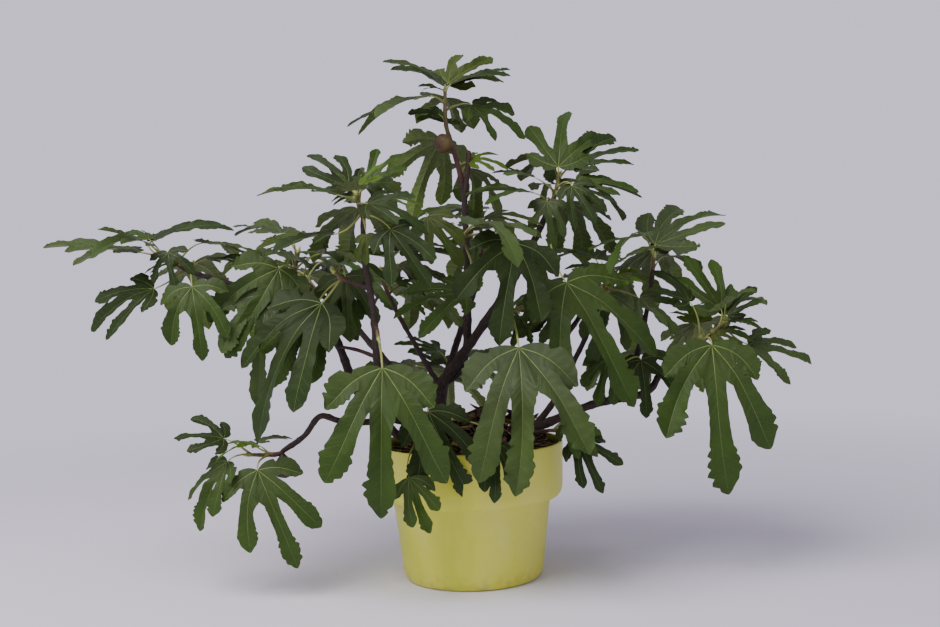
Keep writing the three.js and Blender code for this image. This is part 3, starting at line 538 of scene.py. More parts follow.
def growSeeded(mass, k, draw):
    # A seeded leaf: it turns round the stem by the golden section, older leaves have longer stalks, are
    # larger and hang lower, and one that touches something is turned, and then left out.
    place, swing, rise, hang, size, tilt, sway = (next(draw) for _ in range(7))
    count, toward, width = mass["more"]
    along = mix(*seeded["alongStem"], (k + place) / count)
    age = 1 - along
    golden = (k * seeded["goldenSection"] + 0.5) % 1
    heading = toward + width * (2 * golden - 1) + seeded["headingPlay"] * (swing - 0.5)
    stalkPitch = mix(*seeded["stalkPitch"], age) + seeded["stalkPlay"] * (rise - 0.5)
    stalkLength = mix(*seeded["stalkLength"], age) * mix(*seeded["stalkSizes"], size)
    bladePitch = mix(*seeded["bladePitch"], age) + seeded["bladePlay"] * (hang - 0.5)
    bladeLength = mix(*seeded["bladeLength"], age) * mix(*seeded["bladeSizes"], size)
    facing = np.array([seeded["tiltPlay"] * (tilt - 0.5), seeded["tiltPlay"] * (sway - 0.5), 1])
    growTurned(mass, along, heading, (stalkPitch, stalkLength), (bladePitch, bladeLength), facing,
               mix(*seeded["breadths"], swing))


def growFresh(mass, k, draw):
    # A finer leaf in the same spiral, smaller and more upright, kept inside its mass's own box.
    place, swing, rise, hang, size, tilt, sway = (next(draw) for _ in range(7))
    along = mix(*fresh["alongStem"], (k + place) / fresh["perMass"])
    age = 1 - along
    heading = 360 * (k * seeded["goldenSection"] + swing)
    facing = np.array([tilt - 0.5, sway - 0.5 - fresh["forward"], 1])
    low, high = (np.array(corner) * 1000 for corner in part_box(mass["name"]))
    box = (low + fresh["inside"], high - fresh["inside"])
    stalkPitch = mix(*fresh["stalkPitch"], age) + fresh["stalkPlay"] * (rise - 0.5)
    bladePitch = mix(*fresh["bladePitch"], age) + fresh["bladePlay"] * (hang - 0.5)
    stalk = stalkPitch, mix(*fresh["stalkLength"], size)
    blade = bladePitch, mix(*fresh["bladeLength"], size)
    breadth = mix(*fresh["breadths"], swing)
    if growTurned(mass, along, heading, stalk, blade, facing, breadth, fresh["sizes"], box):
        mass["grown"][-1]["young"] = True


def growPlaced(mass, rows):
    for along, base, tip, facing, breadth in rows:
        base, tip, facing = np.array(base, float), np.array(tip, float), np.array(facings[facing], float)
        growLeaf(mass, along, base, tip, facing, breadth, False)


def growPlant():
    # The limbs and stems first, then the placed leaves and the seeded ones, as in the source, and after
    # them the finer ones. What has its place already keeps the later ones off.
    for limb in limbs:
        points = evenPoints(lambda t, path=limb["path"]: curveAt(path, t), room["limbStep"])
        take("limb", limb["name"], points, max(limb["thick"]) / 2)
    for mass in masses:
        bough = next(limb for limb in limbs if limb["name"] == mass["bough"])
        end, way = curveAt(bough["path"], 1.0), tangentAt(bough["path"], 1.0)
        mass["curve"] = np.array([end + way * gap, end + way * (gap + stemForm["straight"]), *mass["stem"]])
        mass["grown"] = []
        mass["thick"] = (bough["thick"][1], min(stemForm["tip"], bough["thick"][1]))
        points = evenPoints(lambda t, path=mass["curve"]: curveAt(path, t), room["limbStep"])
        take("stem", mass["name"], points, mass["thick"][0] / 2)
    for mass in masses:
        growPlaced(mass, mass["leaves"])
    for index, mass in enumerate(masses):
        draw = draws(seeded["firstSeed"] + seeded["seedStep"] * index)
        for k in range(mass["more"][0] if "more" in mass else 0):
            growSeeded(mass, k, draw)
    print("leaves as in the source:", sum(len(mass["grown"]) for mass in masses))
    for mass in masses:
        growPlaced(mass, mass.get("finer", []))
    for index, mass in enumerate(masses):
        draw = draws(fresh["firstSeed"] + seeded["seedStep"] * index)
        for k in range(fresh["perMass"]):
            growFresh(mass, k, draw)


growPlant()
print("leaves grown:", sum(len(mass["grown"]) for mass in masses))


# Each lobe: how far its vein leans from the midrib as it sets out and as it ends (shares of the lobe's
# angle), how many rows it has, how many of them reach the bay beside it, and the share of its reach where
# those end.
lobeForm = {
    "basal": {"lean": (1.18, 0.9), "rows": 21, "bayRows": 6, "bayShare": 0.34},
    "side": {"lean": (1.1, 0.9), "rows": 34, "bayRows": 7, "bayShare": 0.26},
    "centre": {"lean": (1, 1), "rows": 40, "bayRows": 7, "bayShare": 0.2},
}
# Half width beyond the bay, in leaf lengths, by the share of the lobe's reach.
halfWidth = {
    "centre": [(0.35, 0.071), (0.48, 0.068), (0.6, 0.073), (0.7, 0.086), (0.8, 0.106), (0.86, 0.114),
               (0.88, 0.1), (0.925, 0.084), (0.965, 0.044)],
    "sideIn": [(0.4, 0.068), (0.54, 0.068), (0.66, 0.08), (0.78, 0.1), (0.85, 0.106), (0.88, 0.094),
               (0.925, 0.08), (0.965, 0.044)],
    "sideOut": [(0.36, 0.076), (0.48, 0.074), (0.62, 0.09), (0.74, 0.112), (0.82, 0.12), (0.85, 0.106),
                (0.92, 0.088), (0.965, 0.046)],
    "basalIn": [(0.56, 0.064), (0.7, 0.074), (0.84, 0.062), (0.965, 0.024)],
    "basalOut": [(0.5, 0.112), (0.66, 0.12), (0.76, 0.106), (0.9, 0.062), (0.965, 0.026)],
}
bladeForm = {
    "columns": (0, 0.05, 0.4, 0.74, 1), "plainColumns": (0, 0.07, 0.55, 1),   # from the vein to the margin
    "bays": (0.225, 0.285, 0.285, 0.225), "bayDraw": (0.86, 1.25), "leastBay": 0.1, "bayEase": 6,
    "ear": (119, 0.188), "earTurn": 1.3,   # the two ears beside the stalk: angle and reach
    "dip": (0.045, 0.62),                  # the notch beyond an ear: how far on, and share of the width
    "widthsFrom": 0.05,                    # how far beyond the bay the half widths begin to count
    "endShare": 0.965, "tipRound": 1.7,    # of a lobe's reach, where its margin turns in to its tip
    "slant": 1.4,                          # how far forward the side veins run
    "tooth": (0, 0.75, 1), "toothDepth": 0.027, "toothDraw": (0.7, 1.25), "toothSizes": (-1.1, 1.5),
    "leastTooth": 0.12, "toothMiddle": 0.45, "inToothed": 0.2, "toothFrom": (0.62, 0.15),
    "plump": (0.82, 1.1), "plumpFrom": (0.5, 0.25),
    "turn": 5.0, "reach": (0.89, 1.05), "sway": 6,
    "thickness": 0.0026, "groove": 0.004, "grooveWidth": 0.011, "rib": 0.011, "ribEnd": 0.25,
    "ribWidth": 0.007, "quilt": 0.0035, "quiltRows": (-0.9, 0.5, 0.5),
    "vein": (0.0031, 0.0005),              # half width of a main vein at its foot and tip
    "veinShares": (0.02, 0.35),            # of the half lobe, that it has at least and at most
    "lobeFold": (0.0, 0.45), "droop": (-0.1, 0.3), "twist": 0.55, "free": (0.12, 0.35),
    "wave": 0.011, "waves": ((17, 1), (37, 0.6)),
    "insets": (1.2, 0.2),                  # how far the upper and the under sheet keep inside the part's box
}


def lobeKind(k):
    return ("basal", "side", "centre", "side", "basal")[k]


def layOut(rowShare):
    # The grids of a blade's ten half lobes and how they are sewn: halves share their vein, and neighbours
    # share the line from the base to the bay between them. Fewer rows and columns make a plainer blade.
    halves, start = [], 0
    columns = bladeForm["columns" if rowShare == 1 else "plainColumns"]
    for k in range(5):
        form = lobeForm[lobeKind(k)]
        bayRows = max(3, round(form["bayRows"] * rowShare))
        rows = bayRows + 3 * max(2, round((form["rows"] - form["bayRows"]) * rowShare / 3)) + 1
        for side in (-1, 1):
            halves.append({"k": k, "side": side, "bayRows": bayRows, "rows": rows, "start": start,
                           "open": k + side not in range(5)})
            start += (rows + 1) * len(columns)
    sewn = np.arange(start)
    rim = np.zeros(start, bool)
    place = {(half["k"], half["side"]): half for half in halves}
    grid = {key: half["start"] + np.arange((half["rows"] + 1) * len(columns)).reshape(-1, len(columns))
            for key, half in place.items()}
    quads, edge = [], []
    for (k, side), half in place.items():
        own = grid[k, side]
        sewn[own[:, 0]] = grid[k, -1][:, 0]
        if not half["open"] and side == 1:
            # both neighbours have as many rows to the bay as the one that has fewer
            count = min(half["bayRows"], place[k + 1, -1]["bayRows"])
            half["bayRows"] = place[k + 1, -1]["bayRows"] = count
            sewn[grid[k + 1, -1][: count + 1, -1]] = own[: count + 1, -1]
    for (k, side), half in place.items():
        own = grid[k, side]
        rim[own[0 if half["open"] else half["bayRows"]:, -1]] = True
        rim[own[-1]] = True
        a, b, c, d = own[:-1, :-1], own[:-1, 1:], own[1:, 1:], own[1:, :-1]
        corners = np.stack([a, b, d, b, c, d] if side == 1 else [a, d, b, b, d, c], axis=-1)
        # the last cell has three corners on the rim, so its cut runs the other way
        e, f, g, h = a[-1, -1], b[-1, -1], c[-1, -1], d[-1, -1]
        corners[-1, -1] = (e, f, g, e, g, h) if side == 1 else (e, g, f, e, h, g)
        quads.append(corners.reshape(-1, 3))
        strip = np.zeros(a.shape, bool)
        strip[:, 0] = True
        edge.append(np.repeat(strip.reshape(-1), 2))
    for own in grid.values():
        sewn[own[0]] = grid[0, -1][0, 0]
    rim[sewn == sewn[0]] = True
    while (sewn[sewn] != sewn).any():
        sewn = sewn[sewn]
    names, ids = np.unique(sewn, return_inverse=True)
    faces, strips = np.concatenate(quads), np.concatenate(edge)
    sound = np.array([len(set(ids[face])) == 3 for face in faces])
    rims = np.zeros(len(names), bool)
    np.logical_or.at(rims, ids, rim)
    return {"halves": halves, "columns": np.array(columns), "ids": ids, "count": len(names), "rims": rims,
            "faces": faces[sound], "strips": strips[sound]}


def veinAt(lobe, share):
    # The vein's points, as complex numbers with x along the midrib: out along the lobe's reach, while the
    # angle turns from its first lean to its last.
    angle = lobe["angle"] * mix(*lobe["lean"], smooth(share)) + lobe["sway"] * share**2
    return lobe["reach"] * share * np.exp(1j * angle)


def veinWay(lobe, share):
    # the vein's way, from just before a share of its reach to just after it
    step = veinAt(lobe, share + 0.01) - veinAt(lobe, share - 0.01)
    return step / abs(step)


def drawLobe(k, breadth, rng):
    angle, reach, _ = leafForm["lobes"][k]
    form = lobeForm[lobeKind(k)]
    return {"angle": math.radians(angle * breadth + rng.uniform(-1, 1) * bladeForm["turn"]),
            "reach": reach * rng.uniform(*bladeForm["reach"]), "lean": form["lean"],
            "sway": math.radians(rng.uniform(-1, 1) * bladeForm["sway"]),
            "fold": rng.uniform(*bladeForm["lobeFold"]), "droop": rng.uniform(*bladeForm["droop"]),
            "twist": rng.uniform(-1, 1) * bladeForm["twist"], "bayShare": form["bayShare"],
            "plump": rng.uniform(*bladeForm["plump"])}


def halfSheet(half, lobes, bays, deep, breadth, columns, rng):
    # Half a lobe's points. One lies at t of the way from the lobe's vein to the margin: as far as the bay
    # the margin is the line to the bay, beyond it the half width off the vein with teeth of three rows
    # each, and the last row turns in to the tip. Returned are x, y, lift, relief, depth of the under side,
    # and the way along the vein and off it.
    lobe, side, rows, bay = lobes[half["k"]], half["side"], half["rows"], half["bayRows"]
    kind = lobeKind(half["k"])
    outer = (half["k"] - 2) * side >= 0
    widths = halfWidth[kind if kind == "centre" else kind + ("Out" if outer else "In")]
    i = np.arange(rows + 1)
    near, beyond = np.minimum(i / bay, 1), np.clip((i - bay) / (rows - bay), 0, 1)
    rowShare = mix(lobe["bayShare"], 1, beyond ** bladeForm["slant"])
    share = np.where(i < bay, lobe["bayShare"] * i / bay, rowShare)
    vein = veinAt(lobe, share)
    if half["open"]:
        # the ear beside the stalk
        earAngle, lineReach = bladeForm["ear"]
        away = side * math.radians(earAngle * breadth) * mix(bladeForm["earTurn"], 1, near)
    else:
        # the line to the bay lies half way between the two lobes' angles
        away = (lobe["angle"] + lobes[half["k"] + side]["angle"]) / 2 + 0 * i
        lineReach = bays[half["k"] + min(side, 0)]
    line = lineReach * near * np.exp(1j * away)

    lean = away[bay] - lobe["angle"] * lobe["lean"][0]
    bayShare = max(bladeForm["leastBay"], lineReach * math.cos(lean) / lobe["reach"])
    marginShare = mix(bayShare, bladeForm["endShare"], beyond)
    first = lineReach * abs(math.sin(lean))
    dipAfter, dipWidth = bladeForm["dip"]
    dip = [(bayShare + dipAfter, first * dipWidth)] if half["open"] else []
    later = [pair for pair in widths if pair[0] > bayShare + bladeForm["widthsFrom"]]
    width = np.interp(marginShare, *zip((bayShare, first), *dip, *later))
    width = width * mix(1, lobe["plump"], easeIn(marginShare, *bladeForm["plumpFrom"]))
    phase = (i - bay) % 3
    strength = rng.uniform(*bladeForm["toothSizes"], rows + 1)
    strength = np.clip(strength, bladeForm["leastTooth"], None)[i - phase]
    strength = strength * deep * mix(bladeForm["inToothed"], 1, easeIn(marginShare, *bladeForm["toothFrom"]))
    width = width + strength * (np.array(bladeForm["tooth"])[phase] - bladeForm["toothMiddle"])

    margin = veinAt(lobe, marginShare) + 1j * side * width * veinWay(lobe, marginShare)
    margin = margin + (line[bay] - margin[bay]) * (1 - beyond) ** bladeForm["bayEase"]
    margin = np.where(i <= bay, line, margin)
    t = np.broadcast_to(columns, (rows + 1, len(columns))).copy()
    wide = abs(margin - vein)
    t[:, 1] = np.clip(mix(*bladeForm["vein"], share) / np.maximum(wide, 1e-6), *bladeForm["veinShares"])
    sheet = mix(vein[:, None], margin[:, None], t)
    # the last row: from the tip round to the margin's end
    endShare = mix(1, bladeForm["endShare"], columns ** bladeForm["tipRound"])
    sheet[-1] = veinAt(lobe, endShare) + 1j * side * width[-1] * columns * veinWay(lobe, endShare)

    across = t * wide[:, None]
    reach = mix(share[:, None], marginShare[:, None], t) * lobe["reach"]
    groove = bladeForm["groove"] * bell(across, bladeForm["grooveWidth"]) * smooth(i / 2)[:, None]
    swell = bladeForm["quilt"] * np.array(bladeForm["quiltRows"])[phase][:, None] * 4 * t * (1 - t)
    wave = sum(high * np.sin(marginShare * turns + rng.uniform(*phases))
               for turns, high in bladeForm["waves"])
    lift = lobe["fold"] * across - lobe["droop"] * reach**2 + lobe["twist"] * side * across * reach
    lift = easeIn(reach, *bladeForm["free"]) * (lift + bladeForm["wave"] * wave[:, None] * t**2)
    rib = mix(1, bladeForm["ribEnd"], share)[:, None] * bell(across, bladeForm["ribWidth"])
    rimness = t * (1 if half["open"] else near[:, None] ** bladeForm["bayEase"])
    rimness[[0, -1]] = 1
    under = (bladeForm["thickness"] + bladeForm["rib"] * rib) * (1 - rimness**4)
    parts = (sheet.real, sheet.imag, lift, swell - groove, under, reach, side * across)
    return [part.ravel() for part in parts]


def bladeMesh(leaf, plan, rng):
    # A blade's upper and under sheet, which meet at the rim. Veins lie in grooves above and stand out as
    # ribs below, the blade between side veins swells, each lobe folds, droops and twists by its own draw,
    # and the margin waves.
    breadth, ids, count, rims = leaf["breadth"], plan["ids"], plan["count"], plan["rims"]
    lobes = [drawLobe(k, breadth, rng) for k in range(5)]
    deep = bladeForm["toothDepth"] * rng.uniform(*bladeForm["toothDraw"])
    bays = np.array(bladeForm["bays"]) * rng.uniform(*bladeForm["bayDraw"], 4)
    halves = [halfSheet(half, lobes, bays, deep, breadth, plan["columns"], rng) for half in plan["halves"]]
    *sheet, along, across = (np.concatenate(parts) for parts in zip(*halves))
    uv = np.column_stack([along, across])
    sharing = np.bincount(ids, minlength=count)
    x, y, lift, relief, under = (np.bincount(ids, part, count) / sharing for part in sheet)
    under = np.where(rims, 0, under)
    # the sheet keeps inside the part's own box, and the relief and the under sheet follow from it
    low, high = np.array(cadBox) * 1000
    upInset, downInset = bladeForm["insets"]
    top = np.clip(onBlade(leaf, x, y, lift), low + upInset, high - upInset)
    top = top + leaf["up"] * (relief * leaf["length"])[:, None]
    bottom = top - leaf["up"] * (under * leaf["length"])[:, None]
    bottom = np.clip(bottom, low + downInset, high - downInset)
    faces = ids[plan["faces"]]
    lower = np.where(rims[faces], faces, faces + count)
    points = np.concatenate([top, bottom])
    faces = np.concatenate([faces, lower[:, ::-1]])
    corners = np.concatenate([uv[plan["faces"]], uv[plan["faces"][:, ::-1]]])
    kinds = np.concatenate([np.where(plan["strips"], 1, 0), np.where(plan["strips"], 3, 2)])
    used, tidy = np.unique(faces, return_inverse=True)
    return {"points": points[used], "faces": tidy.reshape(-1, 3), "corners": corners, "kinds": kinds,
            "rims": np.concatenate([rims, rims])[used]}


def joined(pieces):
    # many meshes as one: points one after another, and each face's numbers moved up by what came before
    before = np.cumsum([0] + [len(piece["points"]) for piece in pieces[:-1]])
    whole = {"faces": np.concatenate([piece["faces"] + first for piece, first in zip(pieces, before)])}
    for key in pieces[0]:
        if key != "faces":
            whole[key] = np.concatenate([piece[key] for piece in pieces])
    return whole


def makePiece(name, whole, materials, replaced=()):
    # puts a mesh of triangles, worked out in millimetres, into a piece of the model
    points, faces = whole["points"] * 0.001, whole["faces"]
    mesh = bpy.data.meshes.new(name)
    mesh.vertices.add(len(points))
    mesh.vertices.foreach_set("co", points.astype(np.float32).ravel())
    mesh.loops.add(faces.size)
    mesh.loops.foreach_set("vertex_index", faces.astype(np.int32).ravel())
    mesh.polygons.add(len(faces))
    mesh.polygons.foreach_set("loop_start", np.arange(0, faces.size, 3, dtype=np.int32))
    for material in materials:
        mesh.materials.append(material)
    if "kinds" in whole:
        mesh.polygons.foreach_set("material_index", whole["kinds"].astype(np.int32))
    mesh.update(calc_edges=True)
    mesh.polygons.foreach_set("use_smooth", np.ones(len(faces), bool))
    if "corners" in whole:
        layer = mesh.uv_layers.new(name="surface")
        layer.data.foreach_set("uv", whole["corners"].astype(np.float32).ravel())
    if "rims" in whole:
        ends = np.empty(len(mesh.edges) * 2, np.int32)
        mesh.edges.foreach_get("vertices", ends)
        sharp = mesh.attributes.new("sharp_edge", "BOOLEAN", "EDGE")
        sharp.data.foreach_set("value", whole["rims"][ends.reshape(-1, 2)].all(axis=1))
    if "tone" in whole:
        tone = mesh.attributes.new("tone", "FLOAT", "POINT")
        tone.data.foreach_set("value", whole["tone"].astype(np.float32))
    mesh.update()
    piece = addObject(name, mesh)
    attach(piece, "root")
    if replaced:
        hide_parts(*replaced)
    print(name, "has", len(faces), "triangles")


def rgb(red, green, blue):
    # a colour as it looks on a screen, 0 to 255, turned into the light that it stands for
    parts = np.array([red, green, blue]) / 255
    light = np.where(parts <= 0.04045, parts / 12.92, ((parts + 0.055) / 1.055) ** 2.4)
    return (*light.tolist(), 1)


def feed(tree, socket, value):
    # links a socket's value into an input, or puts in a plain one
    if isinstance(value, bpy.types.NodeSocket):
        tree.links.new(value, socket)
    else:
        socket.default_value = value


def addNode(tree, kind, feeds=None, **settings):
    node = tree.nodes.new("ShaderNode" + kind)
    for key, value in settings.items():
        setattr(node, key, value)
    for key, value in (feeds or {}).items():
        feed(tree, node.inputs[key], value)
    return node


def ramp(tree, factor, *stops):
    # a colour ramp through stops of a place and a colour
    node = addNode(tree, "ValToRGB", {"Fac": factor})
    elements = node.color_ramp.elements
    while len(elements) < len(stops):
        elements.new(0.5)
    for element, (place, colour) in zip(elements, stops):
        element.position, element.color = place, colour
    return node.outputs["Color"]


def blend(tree, factor, low, high):
    return addNode(tree, "Mix", {"Factor": factor, 6: low, 7: high}, data_type="RGBA").outputs[2]


def maths(tree, operation, first, second=0.0):
    return addNode(tree, "Math", {0: first, 1: second}, operation=operation).outputs[0]


def times(tree, value, factor, plus=0.0, clamp=False):
    # value * factor + plus
    feeds = {0: value, 1: factor, 2: plus}
    return addNode(tree, "Math", feeds, operation="MULTIPLY_ADD", use_clamp=clamp).outputs[0]


def ranged(tree, value, low, high, kind="LINEAR"):
    # 0 at the low value and 1 at the high one, which may be the smaller number
    feeds = {"Value": value, "From Min": low, "From Max": high}
    return addNode(tree, "MapRange", feeds, interpolation_type=kind).outputs[0]


def noise(tree, place, scale, detail=2.0, roughness=0.5):
    feeds = {"Vector": place, "Scale": scale, "Detail": detail, "Roughness": roughness}
    return addNode(tree, "TexNoise", feeds).outputs["Fac"]


def cells(tree, place, scale, kind="F1"):
    # how far off the nearest of the scattered points is, or the nearest edge between their cells
    return addNode(tree, "TexVoronoi", {"Vector": place, "Scale": scale}, feature=kind).outputs["Distance"]


def stretched(tree, place, scale, rotation=(0, 0, 0)):
    feeds = {"Vector": place, "Rotation": rotation, "Scale": scale}
    return addNode(tree, "Mapping", feeds).outputs["Vector"]


def onObject(tree):
    return addNode(tree, "TexCoord").outputs["Object"]


def onSurface(tree):
    # the place on a leaf, limb or stalk, and its two parts: on a leaf the way along the vein and off it
    surface = addNode(tree, "UVMap", uv_map="surface").outputs["UV"]
    return surface, addNode(tree, "SeparateXYZ", {0: surface}).outputs


def toneOf(tree):
    return addNode(tree, "Attribute", attribute_name="tone").outputs["Fac"]


def newMaterial(name, **sockets):
    material = bpy.data.materials.new(name)
    material.use_nodes = True
    for key, value in sockets.items():
        material.node_tree.nodes["Principled BSDF"].inputs[key].default_value = value
    return material, material.node_tree


def dress(material, colour, roughness=None, relief=None):
    # A material's colour, roughness and relief: a height, its strength, and its depth in metres, which
    # is below 0 where the height goes inward.
    tree = material.node_tree
    inputs = tree.nodes["Principled BSDF"].inputs
    feed(tree, inputs["Base Color"], colour)
    if roughness is not None:
        feed(tree, inputs["Roughness"], roughness)
    if relief:
        height, strength, depth = relief
        feeds = {"Height": height, "Strength": strength, "Distance": abs(depth)}
        feed(tree, inputs["Normal"], addNode(tree, "Bump", feeds, invert=depth < 0).outputs["Normal"])
    return material


def newGroup(name, inputs, outputs):
    group = bpy.data.node_groups.new(name, "ShaderNodeTree")
    for label, kind, value in inputs:
        socket = group.interface.new_socket(label, in_out="INPUT", socket_type="NodeSocket" + kind)
        socket.default_value = value
    for label, kind in outputs:
        group.interface.new_socket(label, in_out="OUTPUT", socket_type="NodeSocket" + kind)
    return group, group.nodes.new("NodeGroupInput").outputs, group.nodes.new("NodeGroupOutput").inputs


def mottleGroup():
    # A base colour made uneven: broad clouds from noise darken and lighten it, and fine ones do so less.
    inputs = [("Colour", "Color", (0.5, 0.5, 0.5, 1)), ("Size", "Float", 20.0), ("Amount", "Float", 0.2),
              ("Fine", "Float", 0.1)]
    group, given, put = newGroup("mottle", inputs, [("Colour", "Color"), ("Mask", "Float")])
    place = onObject(group)
    broad = noise(group, place, given["Size"], 3.0)
    fine = noise(group, place, times(group, given["Size"], 14.0))
    level = times(group, times(group, broad, 2.0, -1.0), given["Amount"], 1.0)
    level = times(group, times(group, fine, 2.0, -1.0), given["Fine"], level)
    lit = addNode(group, "VectorMath", {0: given["Colour"], 3: level}, operation="SCALE")
    feed(group, put["Colour"], lit.outputs[0])
    feed(group, put["Mask"], broad)
    return group


def sideVeinGroup():
    # Side veins on a blade, from its map of the way along a lobe's vein (u) and off it (v): a vein wherever
    # (u - lean |v|) / spacing comes near a whole number, with a net of finer veins between them.
    inputs = [("Spacing", "Float", 0.07), ("Lean", "Float", 0.8), ("Width", "Float", 0.06)]
    group, given, put = newGroup("sideVeins", inputs, [("Vein", "Float"), ("Net", "Float")])
    surface, (along, across, _) = onSurface(group)
    lean = times(group, maths(group, "ABSOLUTE", across), given["Lean"])
    turns = maths(group, "DIVIDE", maths(group, "SUBTRACT", along, lean), given["Spacing"])
    near = maths(group, "PINGPONG", turns, 0.5)
    feed(group, put["Vein"], ranged(group, near, given["Width"], 0.0, "SMOOTHSTEP"))
    edges = cells(group, surface, 42.0, "DISTANCE_TO_EDGE")
    feed(group, put["Net"], ranged(group, edges, 0.09, 0.0, "SMOOTHSTEP"))
    return group


mottle, sideVeins = mottleGroup(), sideVeinGroup()


def mottled(tree, colour, size, amount, fine):
    feeds = {"Colour": colour, "Size": size, "Amount": amount, "Fine": fine}
    return addNode(tree, "Group", feeds, node_tree=mottle).outputs


leafTones = {
    "deep": {"colour": rgb(36, 53, 10), "vein": rgb(64, 81, 30)},
    "grey": {"colour": rgb(62, 78, 36), "vein": rgb(86, 103, 52)},
    "green": {"colour": rgb(52, 73, 19), "vein": rgb(80, 101, 38)},
    "fresh": {"colour": rgb(74, 101, 14), "vein": rgb(106, 126, 34)},
    "worn": {"colour": rgb(62, 78, 22), "vein": rgb(88, 103, 40)},
}
leafLook = {
    "gloss": 0.27, "sheenRoughness": 0.4, "sheenTint": rgb(206, 214, 206),
    # roughness, sheen, relief in metres, and the shares of the side veins' and the net's colour
    "upper": (0.54, 0.07, -0.0006, 0.32, 0.08), "lower": (0.7, 0.2, 0.0009, 0.6, 0.3),
    "under": rgb(86, 106, 52), "mainVein": rgb(126, 146, 66), "veinEnd": rgb(62, 88, 30),
    "underVein": rgb(148, 156, 88), "underEnd": rgb(116, 130, 72),
    # what a blade's colour is multiplied by near its stalk, a greyer painted sheen, and out on its lobes
    "paintedSheen": (1.1, 1.0, 1.5, 1), "lively": (0.96, 1.07, 0.68, 1),
}


def bladeMaterial(name, colour, vein, form):
    # A blade's side: greyer by the stalk with a painted sheen and livelier on the lobes, mottled, with side
    # veins and their net in a paler colour and in relief, and fine pores.
    roughness, sheen, relief, veinShare, netShare = form
    material, tree = newMaterial(name, **{
        "Specular IOR Level": leafLook["gloss"], "Sheen Weight": sheen,
        "Sheen Roughness": leafLook["sheenRoughness"], "Sheen Tint": leafLook["sheenTint"]})
    along = onSurface(tree)[1][0]
    # the greyer colour by the stalk is a painted sheen, and the livelier one is the lobes' own green
    paintedSheen, lively = (np.multiply(colour, leafLook[key]) for key in ("paintedSheen", "lively"))
    base = mottled(tree, ramp(tree, along, (0.15, paintedSheen), (0.7, lively)), 22.0, 0.38, 0.16)
    lines = addNode(tree, "Group", node_tree=sideVeins).outputs
    body = blend(tree, times(tree, lines["Vein"], veinShare), base["Colour"], vein)
    body = blend(tree, times(tree, lines["Net"], netShare), body, vein)
    pores = noise(tree, onObject(tree), 900.0)
    height = times(tree, lines["Net"], 0.35, lines["Vein"])
    height = times(tree, pores, math.copysign(0.3, -relief), height)
    return dress(material, body, times(tree, base["Mask"], 0.3, roughness - 0.15), (height, 0.5, relief))


def alongMaterial(name, roughness, factorOf, stops, mottling):
    # a colour that goes through stops along a vein or a stalk, mottled
    material, tree = newMaterial(name, Roughness=roughness)
    return dress(material, mottled(tree, ramp(tree, factorOf(tree), *stops), *mottling)["Colour"])


def veinMaterial(name, foot, end):
    # a main vein: pale where it leaves the stalk, and nearer the blade's green the further it runs
    stops = [(0.05, foot), (0.85, end)]
    return alongMaterial(name, 0.45, lambda tree: onSurface(tree)[1][0], stops, (60.0, 0.25, 0.1))


def stalkMaterial():
    # yellow-green, flushed with red at its foot by the tone drawn along it
    stops = [(0, rgb(112, 84, 52)), (0.16, rgb(134, 138, 68)), (1, rgb(166, 176, 92))]
    return alongMaterial("leaf_stalk", 0.4, toneOf, stops, (45.0, 0.3, 0.12))


def leafMaterials():
    # one upper side for each tone, then the main veins above, the under side, and its veins
    upper = [bladeMaterial("leaf_" + name, tone["colour"], tone["vein"], leafLook["upper"])
             for name, tone in leafTones.items()]
    return [*upper, veinMaterial("leaf_vein", leafLook["mainVein"], leafLook["veinEnd"]),
            bladeMaterial("leaf_under", leafLook["under"], leafLook["underVein"], leafLook["lower"]),
            veinMaterial("leaf_under_vein", leafLook["underVein"], leafLook["underEnd"])]


barkLook = {"old": rgb(56, 40, 35), "deep": rgb(30, 20, 18), "young": rgb(86, 47, 38),
            "green": rgb(104, 104, 56), "speck": rgb(132, 110, 90)}


def barkMaterial():
    # Colour by age, from the tone drawn along each limb, with cracks along the wood and pale pores.
    material, tree = newMaterial("bark")
    place = onObject(tree)
    patchy = noise(tree, place, 55.0, 4.0)
    aged = times(tree, patchy, 0.3, times(tree, toneOf(tree), 1.0, -0.15), True)
    body = ramp(tree, aged, (0, barkLook["old"]), (0.4, barkLook["old"]), (0.66, barkLook["young"]),
                (1, barkLook["green"]))
    drawn = stretched(tree, onSurface(tree)[0], (9, 5, 1))
    older = times(tree, aged, -1.0, 1.0, True)
    crack = times(tree, ranged(tree, noise(tree, drawn, 2.2, 6.0, 0.7), 0.5, 0.38), older)
    body = blend(tree, times(tree, crack, 0.75), body, barkLook["deep"])
    speck = ranged(tree, cells(tree, place, 190.0), 0.2, 0.12)
    body = blend(tree, times(tree, speck, 0.55), body, barkLook["speck"])
    height = times(tree, crack, -1.0, times(tree, speck, 0.5, patchy))
    return dress(material, body, times(tree, older, 0.25, 0.5), (height, 0.7, 0.0012))


def figMaterial():
    # green fruit ripening to brown and purple by its tone, unevenly, with pale flecks
    material, tree = newMaterial("fig_skin", Roughness=0.55)
    place = onObject(tree)
    cloud = noise(tree, place, 60.0, 4.0)
    stage = times(tree, cloud, 0.9, times(tree, toneOf(tree), 1.0, -0.45), True)
    skin = ramp(tree, stage, (0, rgb(110, 130, 58)), (0.4, rgb(102, 92, 40)), (0.62, rgb(84, 62, 34)),
                (0.8, rgb(58, 38, 30)), (1, rgb(44, 32, 34)))
    fleck = ranged(tree, cells(tree, place, 260.0), 0.22, 0.1)
    body = blend(tree, times(tree, fleck, 0.4), skin, rgb(146, 126, 76))
    return dress(material, body, relief=(cloud, 0.35, 0.002))


# the darkest colour is soil stain and painted shade inside the collar
potLook = {"colour": rgb(217, 217, 70), "greener": rgb(192, 200, 52), "pale": rgb(220, 219, 112),
           "dirt": rgb(142, 130, 78), "stainAndShade": rgb(58, 46, 30), "roughness": 0.42}


